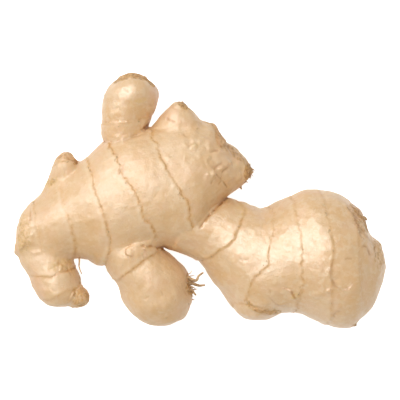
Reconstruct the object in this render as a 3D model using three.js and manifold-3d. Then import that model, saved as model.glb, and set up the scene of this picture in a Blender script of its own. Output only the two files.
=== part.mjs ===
// A ginger root: one branched rhizome lying flat on a table, seen from above in its own frame.
// X runs along the root from the old cut end to the broad young end, Y across it and Z up, in millimetres.
// Every finger is a loft through rings of skin, and all of them are fused into one solid.

import * as THREE from "three";
import { mergeVertices } from "three/addons/utils/BufferGeometryUtils.js";
import Module from "manifold-3d";

const wasm = await Module();
wasm.setup();

// Driving sizes of the skin
const ringLip = 0.7; // how far a leaf-scar ring stands out over the next joint
const ringWidth = 1; // length of the step from a ring's lip down to its groove
const lipSlope = 0.4; // how fast the skin rises to a lip, per half ring width
const grooveSlope = 0.5; // how fast a groove levels out again, per half ring width
const grooveShare = 0.7; // depth of a groove as a share of its lip
const jointSwell = 0.45; // how much the skin swells between two rings
const skinUnevenness = 0.42; // soft dents and swellings of the whole surface
const ringWander = 0.38; // how far a ring strays from a plain circle
const wanderReach = 0.7; // how many sections away from its ring the wander dies out
const reliefFadeWidth = 5; // half width under which the relief fades towards a tip
const lumpRise = 0.45; // height of a lump as a share of its radius
const lumpSpread = 1.25; // width of a lump's foot as a share of its radius

// Rows of the skin's mesh
const sectionLength = 7; // usual distance between two sections
const rowsPerSection = 2;
const ringClearance = 0.3; // rows nearer to a ring than this share of a step are left out
const tipRows = [0.35, 0.12]; // shares of a step at which the last rows sit before the tip

// Small roots
const stubRadius = 0.95;
const stubHeight = 1.2; // how far a broken root stub stands out of the skin
const stubFoot = 1.2; // how deep it is sunk into the skin
const stubSides = 5;
const rootletSides = 5;
const rootletTaper = 0.45; // share of its thickness that a rootlet loses towards its end

// Block under the table's level, larger than the root
const tableBlock = { length: 200, width: 160, height: 20 };

// A finger's sections run from inside the part that it grows from to its tip. Looking along the finger
// from above, each gives its left and right edge, middle height, half thickness and bow:
// [leftX, leftY, rightX, rightY, middleZ, halfThickness, bow]. The bow leans a section's top to the tip.
const fingers = [
  {
    name: "palm",
    sides: 34,
    skew: 0.8,
    rings: [
      { at: 1.9, lip: 0.5 },
      { at: 3, lip: 0.8 },
      { at: 5, lip: 1.1 },
      { at: 6, lip: 1 },
      { at: 7, lip: 1 },
    ],
    sections: [
      [-64.4, -10.2, -65.2, -18.8, 12.4, 4.4, 0],
      [-61.6, -4, -62, -21, 12, 8.2, 0.5],
      [-58, 0, -56, -22, 12.2, 10.8, 1.5],
      [-50, 6.8, -45.1, -20.4, 13.2, 13.1, 2.3],
      [-44.9, 11.2, -39, -20.8, 14.4, 13.9, 2.8],
      [-39.4, 15.4, -33.6, -22.8, 15.6, 14.6, 3.2],
      [-30.8, 21.8, -14.9, -16.2, 16.8, 15.4, 1],
      [-17.8, 25.2, -7.6, -16.6, 16.8, 15.6, 5.6],
      [-9.8, 27.5, 1.6, -6.6, 15.6, 15, 3.5],
      [-1.4, 28, 7, -0.4, 14.6, 12.9, 2.5],
      [4.3, 25.4, 10.9, 2.6, 14, 10.4, 1.5],
      [7.7, 20.5, 13.4, 4.2, 13.8, 8.7, 1],
      [12.6, 17.8, 15, 5.4, 13.8, 6.7, 0.5],
      [16.3, 13.9, 16.8, 7.6, 14, 4.6, 0],
    ],
    tip: [18.8, 10, 14.2],
  },
  {
    name: "broad end",
    sides: 36,
    skew: 0.3,
    rings: [
      { at: 1.15, lip: 0.6 },
      { at: 2, lip: 1.3 },
      { at: 4, lip: 1 },
      { at: 5, lip: 1 },
      { at: 6, lip: 1 },
      { at: 7.4, lip: 0.8 },
    ],
    sections: [
      [-1.5, -1.8, -9.4, -17.4, 14.6, 12.4, 0],
      [8.8, 0.5, -3.6, -19.4, 14.6, 12, 1.5],
      [15.4, -1.3, 1.2, -23.2, 14.6, 12.8, 2.8],
      [19.2, -2.4, 7.2, -31, 15, 13.6, 3.6],
      [23, -2.7, 14.6, -39.6, 15.6, 14.8, 4.3],
      [32.6, 1.4, 33.2, -39.4, 17.1, 16.4, 3.4],
      [41.3, 3, 44, -43.4, 17.8, 17.6, 2.5],
      [49.6, 1.2, 52.4, -44.2, 17.4, 16.6, 2],
      [55.4, -3.6, 56, -41.3, 17.2, 14.2, 1.2],
      [58.8, -11.4, 60.2, -36.2, 17.2, 10.6, 0.6],
      [63.2, -16.8, 62.8, -30.6, 17.2, 6.6, 0.2],
    ],
    tip: [65.2, -23.4, 17.2],
  },
  {
    name: "upper finger",
    sides: 22,
    skew: 0,
    rings: [
      { at: 1.1, lip: 0.8 },
      { at: 2, lip: 1 },
      { at: 6.2, lip: 0.7 },
    ],
    sections: [
      [-32.2, 16.8, -18.2, 21, 16, 7.5, 0],
      [-33.6, 21.4, -18.5, 24.5, 16.8, 8.2, 0.5],
      [-34.2, 26, -17.5, 28, 17.4, 8.7, 1],
      [-33.9, 32.2, -15.6, 31.8, 18, 9.2, 1],
      [-33.3, 36.4, -14.6, 36.6, 18.5, 9.2, 0.6],
      [-31, 40, -15.6, 39.4, 19, 8.2, 0.3],
      [-28.2, 42.4, -18.4, 42.2, 19.3, 5.8, 0],
      [-25.6, 43.9, -21.4, 43.7, 19.5, 3, 0],
    ],
    tip: [-23.6, 44.5, 19.6],
  },
  {
    name: "side bud",
    sides: 14,
    skew: 0,
    rings: [{ at: 2.2, lip: 0.7 }],
    sections: [
      [-54.2, 3.4, -38, 11.4, 15.4, 9, 0],
      [-52.9, 8.6, -41.4, 12.9, 16, 7, 0],
      [-51.8, 12.2, -43.2, 13.6, 16.8, 5, 0.4],
      [-50, 14.7, -44, 14.7, 17.2, 3.7, 0.3],
      [-48.3, 16.4, -45, 16, 17.4, 2, 0],
    ],
    tip: [-46.6, 16.9, 17.5],
  },
  {
    name: "curled finger",
    sides: 22,
    skew: 0.2,
    rings: [
      { at: 2.1, lip: 1 },
      { at: 4.6, lip: 0.5 },
    ],
    sections: [
      [-42.7, -12.6, -63.9, -14, 12, 7.6, 0],
      [-44.8, -19.9, -63.4, -20.3, 12.2, 8.2, 0.3],
      [-43.4, -24.4, -60.8, -25.9, 12.4, 8.6, 0.8],
      [-42.2, -28, -59, -29.7, 12.4, 8.4, 0.8],
      [-41.6, -31.5, -56.7, -33.9, 12.6, 7.8, 0.5],
      [-42.7, -34.6, -54.2, -36, 12.8, 6.2, 0.3],
      [-44.8, -36.8, -50.8, -37.3, 13, 3.4, 0],
    ],
    tip: [-47.6, -37.6, 13],
  },
  {
    name: "end bud",
    sides: 12,
    skew: 0,
    rings: [{ at: 1.1, lip: 0.8 }],
    sections: [
      [-43.4, -29.7, -46.2, -36.8, 13.4, 4.4, 0],
      [-41.5, -30.2, -44.8, -37.7, 13.5, 4.6, 0],
      [-39.8, -31.9, -41.4, -37.3, 13.5, 3.6, 0],
      [-39.1, -33.3, -39.5, -36.2, 13.5, 1.9, 0],
    ],
    tip: [-38.9, -34.8, 13.5],
  },
  {
    name: "lower finger",
    sides: 26,
    skew: 0.2,
    rings: [
      { at: 1.25, lip: 0.7 },
      { at: 5.2, lip: 0.4 },
    ],
    sections: [
      [-11.9, -12, -34.2, -19.6, 15.4, 12, 0],
      [-13.2, -16.6, -31.8, -25, 14.6, 11.8, 0.5],
      [-8.8, -20.6, -28.8, -30.2, 13.8, 11.9, 1],
      [-5, -24.8, -26.6, -35.6, 12.9, 12.2, 1],
      [-3.2, -30.8, -23.4, -40.4, 12.2, 11.9, 0.8],
      [-3, -35.7, -19.6, -43, 11.8, 10, 0.5],
      [-5, -40.4, -16.1, -43.9, 12.2, 7, 0.2],
      [-8, -42.4, -12.9, -43.9, 12.4, 3.4, 0],
    ],
    tip: [-10.4, -43.9, 12.5],
  },
  {
    name: "shoulder",
    sides: 16,
    skew: 0,
    rings: [{ at: 1.3, lip: 0.5 }],
    sections: [
      [-16.8, 25.2, 1.2, 24.5, 17, 9.2, 0],
      [-12.2, 30.8, -0.9, 28.7, 18, 7.2, 0.6],
      [-10, 33.2, -2.4, 31.2, 18.4, 5.4, 0.4],
      [-8.6, 34.2, -4.8, 32.6, 18.6, 3, 0],
    ],
    tip: [-6.8, 34.5, 18.7],
  },
  {
    name: "under bud",
    sides: 22,
    skew: 0,
    rings: [{ at: 2.2, lip: 0.8 }],
    sections: [
      [33.8, -22, 14, -20, 15, 10, 0],
      [34.4, -30.6, 11.4, -28.4, 14.5, 11, 0.6],
      [33, -36, 10.6, -34.4, 14.4, 11, 0.8],
      [29.4, -38.8, 12, -38.2, 14.4, 8.8, 0.6],
      [26, -40.6, 14.4, -40.4, 14.4, 6.2, 0.3],
      [23.1, -41.8, 16.8, -41.7, 14.4, 3.2, 0],
    ],
    tip: [20, -42.2, 14.4],
  },
];

// Small lumps on the upper skin, as [finger, x, y, radius]: dormant buds and scars of torn roots
const lumps = [
  ["palm", -2, 18.6, 1.7],
  ["palm", 0.4, 17.2, 1.2],
  ["palm", -10.6, 14.6, 1.1],
  ["palm", 9.8, 13.6, 1.8],
  ["palm", 7.6, 10.6, 1.6],
  ["palm", 4.2, 9, 1.3],
  ["palm", 9, 8, 1],
  ["palm", 13.2, 12.4, 1.3],
  ["palm", 4, 25, 1.9],
  ["palm", 9.6, 19, 1.9],
  ["palm", -27, 10.2, 1.2],
  ["palm", -62, -6, 1.4],
  ["palm", -60, -14, 1.6],
  ["broad end", 15, -1.6, 1.5],
  ["broad end", 36, 2.4, 3],
  ["broad end", 57.2, -6.2, 1.4],
  ["broad end", 55.4, -3.2, 1.3],
  ["broad end", 61.6, -15, 1.4],
  ["broad end", 52.4, -31, 1.2],
  ["under bud", 32.6, -33, 1.3],
  ["under bud", 20.6, -37.6, 1.7],
  ["under bud", 24.4, -38.4, 1.4],
  ["upper finger", -20, 42.6, 1.4],
  ["upper finger", -27.6, 42.8, 1.3],
  ["shoulder", -5.4, 34, 1.2],
  ["end bud", -41.4, -35.4, 1.5],
  ["end bud", -42, -32.6, 1.3],
];

// Rootlets and frayed skin that stand free of the outline: points along each, thick end first
const rootlets = [
  { radius: 0.75, path: [[-5.4, -26.6, 15], [-1.6, -28.2, 15.4], [-0.4, -26.6, 15.6], [1.2, -25.4, 15.2]] },
  { radius: 0.8, path: [[-5, -28.2, 14.4], [-1.6, -29.6, 14.2], [0, -30.1, 13.8], [1.8, -29.9, 13.4]] },
  { radius: 0.7, path: [[-4.8, -30, 15], [-2.6, -32, 15.2], [-1.4, -33.4, 14.6]] },
  { radius: 0.55, path: [[-42.9, -18.6, 15.2], [-42.2, -22, 16.6], [-40.9, -25.6, 17.6]] },
  { radius: 0.6, path: [[-7.2, 32.6, 19], [-5.6, 34.2, 19.4], [-4.8, 35.2, 19.2]] },
  { radius: 0.7, path: [[12.6, 6.4, 14], [14, 4.8, 14.2], [14.6, 3.8, 14]] },
  { radius: 0.8, path: [[52, -42.4, 17], [53.6, -43.8, 17.2], [54.8, -43.6, 17.2]] },
  { radius: 0.7, path: [[56.4, -6, 19], [57.6, -6.2, 19.4], [58.2, -7, 19.2]] },
];

// Broken root stubs under and round the sides of these fingers, and how many each one has
const stubCounts = { palm: 9, "broad end": 9, "lower finger": 3, "curled finger": 2 };

// Repeatable random numbers from 0 to 1
let seed = 20;
function random() {
  seed = (seed * 1103515245 + 12345) % 2147483648;
  return seed / 2147483648;
}

// A closed indexed mesh as a solid, turned to face out if it came inside out
function toSolid(positions, triangles) {
  const made = (order) => new wasm.Manifold(new wasm.Mesh({
    numProp: 3,
    vertProperties: new Float32Array(positions),
    triVerts: new Uint32Array(order),
  }));
  const solid = made(triangles);
  return solid.volume() > 0 ? solid : made(triangles.toReversed());
}

function geometryToSolid(geometry) {
  const bare = geometry.clone();
  bare.deleteAttribute("normal");
  bare.deleteAttribute("uv");
  const merged = mergeVertices(bare, 1e-4);
  return toSolid([...merged.attributes.position.array], [...merged.index.array]);
}

// Smooth curves through a finger's edges and sizes, read at section numbers with fractions
function sectionCurves(finger) {
  const [tipX, tipY, tipZ] = finger.tip;
  const rows = [...finger.sections, [tipX, tipY, tipX, tipY, tipZ, 0, 0]];
  const curve = (pick) => new THREE.CatmullRomCurve3(rows.map(pick), false, "catmullrom", 0.5);
  return {
    last: rows.length - 1,
    left: curve(([x, y, , , z]) => new THREE.Vector3(x, y, z)),
    right: curve(([, , x, y, z]) => new THREE.Vector3(x, y, z)),
    sizes: curve(([, , , , , thickness, bow]) => new THREE.Vector3(thickness, bow, 0)),
  };
}

// The ring's edge wanders round the finger, differently for each ring
function wanderAt(finger, at, angle) {
  let shift = 0;
  finger.rings.forEach((ring, index) => {
    const phase = index * 2.4 + finger.sides;
    const near = Math.max(0, 1 - Math.abs(at - ring.at) / wanderReach);
    shift += near * (Math.sin(2 * angle + phase) + 0.6 * Math.sin(5 * angle + 2 * phase));
  });
  return shift * ringWander / sectionLength;
}

// Height of the skin over the plain loft: a swelling on each joint and a lip, then a groove, at each ring
function reliefAt(finger, at, angle) {
  const halfStep = ringWidth / 2 / sectionLength;
  let height = 0;
  for (const ring of finger.rings) {
    const past = (at - ring.at) / halfStep;
    if (past <= 0) height += ring.lip * ringLip * Math.exp(past * lipSlope);
    else height -= ring.lip * ringLip * grooveShare * Math.exp(-past * grooveSlope);
  }
  const phase = finger.sides * 0.7;
  const uneven = Math.sin(2 * angle + at * 1.3 + phase) * Math.sin(at * 2.1 + phase)
    + 0.6 * Math.sin(5 * angle - at * 1.7 + phase) * Math.cos(at * 1.1 + 2 * phase);
  const before = finger.rings.filter((ring) => ring.at <= at).at(-1)?.at ?? 0;
  const after = finger.rings.find((ring) => ring.at > at)?.at ?? finger.sections.length;
  const swell = Math.sin(Math.PI * (at - before) / (after - before)) * jointSwell;
  return height + swell + uneven * skinUnevenness;
}

// How high the lumps of a finger's upper skin stand at x, y
function lumpHeight(finger, x, y) {
  return lumps
    .filter(([fingerName]) => fingerName === finger.name)
    .reduce((height, [, lumpX, lumpY, radius]) => {
      const far = Math.hypot(x - lumpX, y - lumpY) / (radius * lumpSpread);
      return height + radius * lumpRise * Math.exp(-far * far);
    }, 0);
}

// A point of a finger's skin: at is the section number, angle runs from the left edge over the top
function skinPoint(finger, curves, at, angle) {
  const share = THREE.MathUtils.clamp(at / curves.last, 0, 1);
  const left = curves.left.getPoint(share);
  const right = curves.right.getPoint(share);
  const { x, y: bow } = curves.sizes.getPoint(share);
  const thickness = Math.max(x, 0);
  const across = right.clone().sub(left).multiplyScalar(0.5);
  const halfWidth = across.length();
  const middle = left.clone().add(right).multiplyScalar(0.5);
  const side = halfWidth > 1e-6 ? across.divideScalar(halfWidth) : new THREE.Vector3(1, 0, 0);
  const ahead = new THREE.Vector3(-side.y, side.x, 0);
  const reach = -Math.cos(angle);
  const rise = Math.sin(angle);
  const place = (height) => middle.clone()
    .addScaledVector(side, reach * (halfWidth + height))
    .addScaledVector(ahead, bow * rise * (1 + finger.skew * reach))
    .add(new THREE.Vector3(0, 0, rise * (thickness + height)));
  const fullRelief = Math.min(1, halfWidth / reliefFadeWidth, thickness / reliefFadeWidth);
  const relief = reliefAt(finger, at, angle) * fullRelief;
  const plain = place(relief);
  return rise > 0 ? place(relief + lumpHeight(finger, plain.x, plain.y) * fullRelief) : plain;
}

// Section numbers of a finger's rows: even steps, with a lip row and a groove row at each ring
function rowPlaces(finger, last) {
  const step = 1 / rowsPerSection;
  const halfStep = ringWidth / 2 / sectionLength;
  const rings = finger.rings.map((ring) => ring.at);
  const even = [];
  for (let at = 0; at < last; at += step) {
    if (!rings.some((ring) => Math.abs(at - ring) < ringClearance * step)) even.push(at);
  }
  even.push(...tipRows.map((share) => last - share * step));
  const close = rings.flatMap((ring) => [ring - halfStep * 0.5, ring + halfStep * 0.5]);
  return [...even, ...close].sort((a, b) => a - b);
}

// A closed skin over rows of points: each row runs once round, and a pole closes either end
function closedSkin(rows, startPole, endPole) {
  const sides = rows[0].length;
  const positions = [...rows.flat(), startPole, endPole].flatMap((point) => point.toArray());
  const pole = rows.length * sides;
  const lastRow = pole - sides;
  const triangles = [];
  for (let i = 0; i < sides; i++) {
    const next = (i + 1) % sides;
    for (let row = 0; row < lastRow; row += sides) {
      const [a, b, c, d] = [row + i, row + next, row + sides + next, row + sides + i];
      triangles.push(a, b, c, a, c, d);
    }
    triangles.push(next, i, pole, lastRow + i, lastRow + next, pole + 1);
  }
  return toSolid(positions, triangles);
}

function fingerSolid(finger) {
  const curves = sectionCurves(finger);
  const rows = rowPlaces(finger, curves.last).map((place) => (
    Array.from({ length: finger.sides }, (_, i) => {
      const angle = (2 * Math.PI * i) / finger.sides;
      return skinPoint(finger, curves, place + wanderAt(finger, place, angle), angle);
    })
  ));
  const start = curves.left.getPoint(0).add(curves.right.getPoint(0)).multiplyScalar(0.5);
  return closedSkin(rows, start, new THREE.Vector3(...finger.tip));
}

// A short broken root that points straight out of the skin of a finger's lower half
function stubSolid(finger) {
  const curves = sectionCurves(finger);
  const at = 1.2 + random() * (curves.last - 2.4);
  const angle = -Math.PI * (0.08 + 0.84 * random());
  const foot = skinPoint(finger, curves, at, angle);
  const along = skinPoint(finger, curves, at + 0.05, angle).sub(foot);
  const round = skinPoint(finger, curves, at, angle + 0.05).sub(foot);
  const outward = along.cross(round).normalize();
  const opposite = skinPoint(finger, curves, at, angle + Math.PI);
  if (outward.dot(foot.clone().sub(opposite)) < 0) outward.negate();
  const radius = stubRadius * (0.7 + 0.6 * random());
  const length = stubHeight + stubFoot;
  const stub = new THREE.CylinderGeometry(radius * 0.6, radius * 1.2, length, stubSides);
  stub.applyQuaternion(new THREE.Quaternion().setFromUnitVectors(new THREE.Vector3(0, 1, 0), outward));
  stub.translate(...foot.addScaledVector(outward, (stubHeight - stubFoot) / 2));
  return geometryToSolid(stub);
}

// A thin tapering root along a smooth path
function rootletSolid({ radius, path }) {
  const curve = new THREE.CatmullRomCurve3(path.map((point) => new THREE.Vector3(...point)));
  const steps = 3 * (path.length - 1);
  const frames = curve.computeFrenetFrames(steps, false);
  const rows = frames.normals.map((normal, step) => {
    const thick = radius * (1 - rootletTaper * (step / steps));
    return Array.from({ length: rootletSides }, (_, i) => {
      const angle = (2 * Math.PI * i) / rootletSides;
      return curve.getPoint(step / steps)
        .addScaledVector(normal, thick * Math.cos(angle))
        .addScaledVector(frames.binormals[step], thick * Math.sin(angle));
    });
  });
  return closedSkin(rows, curve.getPoint(0), curve.getPoint(1));
}

// The root rests on small flat spots, so whatever reaches under the table's level is cut away
function tableCut() {
  const { length, width, height } = tableBlock;
  const block = new THREE.BoxGeometry(length, width, height);
  block.translate(0, 0, -height / 2);
  return geometryToSolid(block);
}

function rootSolid() {
  const grown = fingers.map(fingerSolid);
  const small = [
    ...rootlets.map(rootletSolid),
    ...Object.entries(stubCounts).flatMap(([fingerName, count]) => {
      const finger = fingers.find((each) => each.name === fingerName);
      return Array.from({ length: count }, () => stubSolid(finger));
    }),
  ];
  return [...grown, ...small].reduce((whole, piece) => whole.add(piece)).subtract(tableCut());
}

function solidToGeometry(solid) {
  const { vertProperties, triVerts } = solid.getMesh();
  const geometry = new THREE.BufferGeometry();
  geometry.setAttribute("position", new THREE.BufferAttribute(vertProperties, 3));
  geometry.setIndex(new THREE.BufferAttribute(triVerts, 1));
  geometry.computeVertexNormals();
  return geometry;
}

const skin = new THREE.MeshStandardMaterial({ color: 0xdcb98c, roughness: 0.55, metalness: 0 });
const root = new THREE.Mesh(solidToGeometry(rootSolid()), skin);
root.name = "ginger_root";

const group = new THREE.Group();
group.add(root);
export default group;
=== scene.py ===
import itertools
import math

import bpy
import numpy as np
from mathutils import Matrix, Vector
from mathutils.kdtree import KDTree


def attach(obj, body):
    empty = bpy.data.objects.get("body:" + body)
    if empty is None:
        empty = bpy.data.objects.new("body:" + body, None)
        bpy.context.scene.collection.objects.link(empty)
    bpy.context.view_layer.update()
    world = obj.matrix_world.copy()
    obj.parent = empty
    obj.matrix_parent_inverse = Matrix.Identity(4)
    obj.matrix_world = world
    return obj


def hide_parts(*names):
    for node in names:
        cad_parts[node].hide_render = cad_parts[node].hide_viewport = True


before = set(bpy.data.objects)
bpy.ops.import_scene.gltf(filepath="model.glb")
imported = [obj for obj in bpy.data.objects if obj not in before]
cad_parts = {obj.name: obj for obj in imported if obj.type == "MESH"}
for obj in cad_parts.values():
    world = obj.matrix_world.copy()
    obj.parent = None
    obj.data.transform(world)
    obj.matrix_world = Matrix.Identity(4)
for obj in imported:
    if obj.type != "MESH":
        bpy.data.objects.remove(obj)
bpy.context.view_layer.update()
scene = bpy.context.scene
mm = 0.001

# The form of the root in millimetres. Looking along a finger from above, each section gives its left
# and right edge, middle height, half thickness and bow: (leftX, leftY, rightX, rightY, z, thick, bow)
rootForm = {
    "palm": {
        "skew": 0.8, "phase": 23.8, "tip": (18.8, 10, 14.2),
        "sections": [
            (-64.4, -10.2, -65.2, -18.8, 12.4, 4.4, 0),
            (-61.6, -4, -62, -21, 12, 8.2, 0.5),
            (-58, 0, -56, -22, 12.2, 10.8, 1.5),
            (-50, 6.8, -45.1, -20.4, 13.2, 13.1, 2.3),
            (-44.9, 11.2, -39, -20.8, 14.4, 13.9, 2.8),
            (-39.4, 15.4, -33.6, -22.8, 15.6, 14.6, 3.2),
            (-30.8, 21.8, -14.9, -16.2, 16.8, 15.4, 1),
            (-17.8, 25.2, -7.6, -16.6, 16.8, 15.6, 5.6),
            (-9.8, 27.5, 1.6, -6.6, 15.6, 15, 3.5),
            (-1.4, 28, 7, -0.4, 14.6, 12.9, 2.5),
            (4.3, 25.4, 10.9, 2.6, 14, 10.4, 1.5),
            (7.7, 20.5, 13.4, 4.2, 13.8, 8.7, 1),
            (12.6, 17.8, 15, 5.4, 13.8, 6.7, 0.5),
            (16.3, 13.9, 16.8, 7.6, 14, 4.6, 0),
        ],
    },
    "broadEnd": {
        "skew": 0.3, "phase": 25.2, "tip": (65.2, -23.4, 17.2),
        "sections": [
            (-1.5, -1.8, -9.4, -17.4, 14.6, 12.4, 0),
            (8.8, 0.5, -3.6, -19.4, 14.6, 12, 1.5),
            (15.4, -1.3, 1.2, -23.2, 14.6, 12.8, 2.8),
            (19.2, -2.4, 7.2, -31, 15, 13.6, 3.6),
            (23, -2.7, 14.6, -39.6, 15.6, 14.8, 4.3),
            (32.6, 1.4, 33.2, -39.4, 17.1, 16.4, 3.4),
            (41.3, 3, 44, -43.4, 17.8, 17.6, 2.5),
            (49.6, 1.2, 52.4, -44.2, 17.4, 16.6, 2),
            (55.4, -3.6, 56, -41.3, 17.2, 14.2, 1.2),
            (58.8, -11.4, 60.2, -36.2, 17.2, 10.6, 0.6),
            (63.2, -16.8, 62.8, -30.6, 17.2, 6.6, 0.2),
        ],
    },
    "upperFinger": {
        "skew": 0, "phase": 15.4, "tip": (-23.6, 44.5, 19.6),
        "sections": [
            (-32.2, 16.8, -18.2, 21, 16, 7.5, 0),
            (-33.6, 21.4, -18.5, 24.5, 16.8, 8.2, 0.5),
            (-34.2, 26, -17.5, 28, 17.4, 8.7, 1),
            (-33.9, 32.2, -15.6, 31.8, 18, 9.2, 1),
            (-33.3, 36.4, -14.6, 36.6, 18.5, 9.2, 0.6),
            (-31, 40, -15.6, 39.4, 19, 8.2, 0.3),
            (-28.2, 42.4, -18.4, 42.2, 19.3, 5.8, 0),
            (-25.6, 43.9, -21.4, 43.7, 19.5, 3, 0),
        ],
    },
    "sideBud": {
        "skew": 0, "phase": 9.8, "tip": (-46.6, 16.9, 17.5),
        "sections": [
            (-56.4, -0.5, -38, 8, 12.6, 7, 0),
            (-53.6, 6.4, -40.6, 11.4, 14.6, 7.2, 0),
            (-52.1, 10.6, -42.6, 13.4, 16, 6, 0.4),
            (-51.4, 12.6, -43.3, 14, 16.6, 4.9, 0.3),
            (-50, 14.8, -44, 15, 17, 3.6, 0.3),
            (-48.3, 16.4, -45, 16.2, 17.4, 2, 0),
        ],
    },
    "curledFinger": {
        "skew": 0.2, "phase": 15.4, "tip": (-47.6, -37.6, 13),
        "sections": [
            (-42.7, -12.6, -63.9, -14, 12, 7.6, 0),
            (-44.8, -19.9, -63.4, -20.3, 12.2, 8.2, 0.3),
            (-43.4, -24.4, -60.8, -25.9, 12.4, 8.6, 0.8),
            (-42.2, -28, -59, -29.7, 12.4, 8.4, 0.8),
            (-41.6, -31.5, -56.7, -33.9, 12.6, 7.8, 0.5),
            (-42.7, -34.6, -54.2, -36, 12.8, 6.2, 0.3),
            (-44.8, -36.8, -50.8, -37.3, 13, 3.4, 0),
        ],
    },
    "endBud": {
        "skew": 0, "phase": 8.4, "tip": (-38.9, -34.8, 13.5),
        "sections": [
            (-43.4, -29.7, -46.2, -36.8, 13.4, 4.4, 0),
            (-41.5, -30.2, -44.8, -37.7, 13.5, 4.6, 0),
            (-39.8, -31.9, -41.4, -37.3, 13.5, 3.6, 0),
            (-39.1, -33.3, -39.5, -36.2, 13.5, 1.9, 0),
        ],
    },
    "lowerFinger": {
        "skew": 0.2, "phase": 18.2, "tip": (-10.4, -43.9, 12.5),
        "sections": [
            (-11.9, -12, -34.2, -19.6, 15.4, 12, 0),
            (-13.2, -16.6, -31.8, -25, 14.6, 11.8, 0.5),
            (-8.8, -20.6, -28.8, -30.2, 13.8, 11.9, 1),
            (-5, -24.8, -26.6, -35.6, 12.9, 12.2, 1),
            (-3.2, -30.8, -23.4, -40.4, 12.2, 11.9, 0.8),
            (-3, -35.7, -19.6, -43, 11.8, 10, 0.5),
            (-5, -40.4, -16.1, -43.9, 12.2, 7, 0.2),
            (-8, -42.4, -12.9, -43.9, 12.4, 3.4, 0),
        ],
    },
    "shoulder": {
        "skew": 0, "phase": 11.2, "tip": (-6.8, 34.5, 18.7),
        "sections": [
            (-16.8, 25.2, 1.2, 24.5, 17, 9.2, 0),
            (-12.2, 30.8, -0.9, 28.7, 18, 7.2, 0.6),
            (-10, 33.2, -2.4, 31.2, 18.4, 5.4, 0.4),
            (-8.6, 34.2, -4.8, 32.6, 18.6, 3, 0),
        ],
    },
    "underBud": {
        "skew": 0, "phase": 15.4, "tip": (20, -42.2, 14.4),
        "sections": [
            (33.8, -22, 14, -20, 15, 10, 0),
            (34.4, -30.6, 11.4, -28.4, 14.5, 11, 0.6),
            (33, -36, 10.6, -34.4, 14.4, 11, 0.8),
            (29.4, -38.8, 12, -38.2, 14.4, 8.8, 0.6),
            (26, -40.6, 14.4, -40.4, 14.4, 6.2, 0.3),
            (23.1, -41.8, 16.8, -41.7, 14.4, 3.2, 0),
        ],
    },
}

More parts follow.
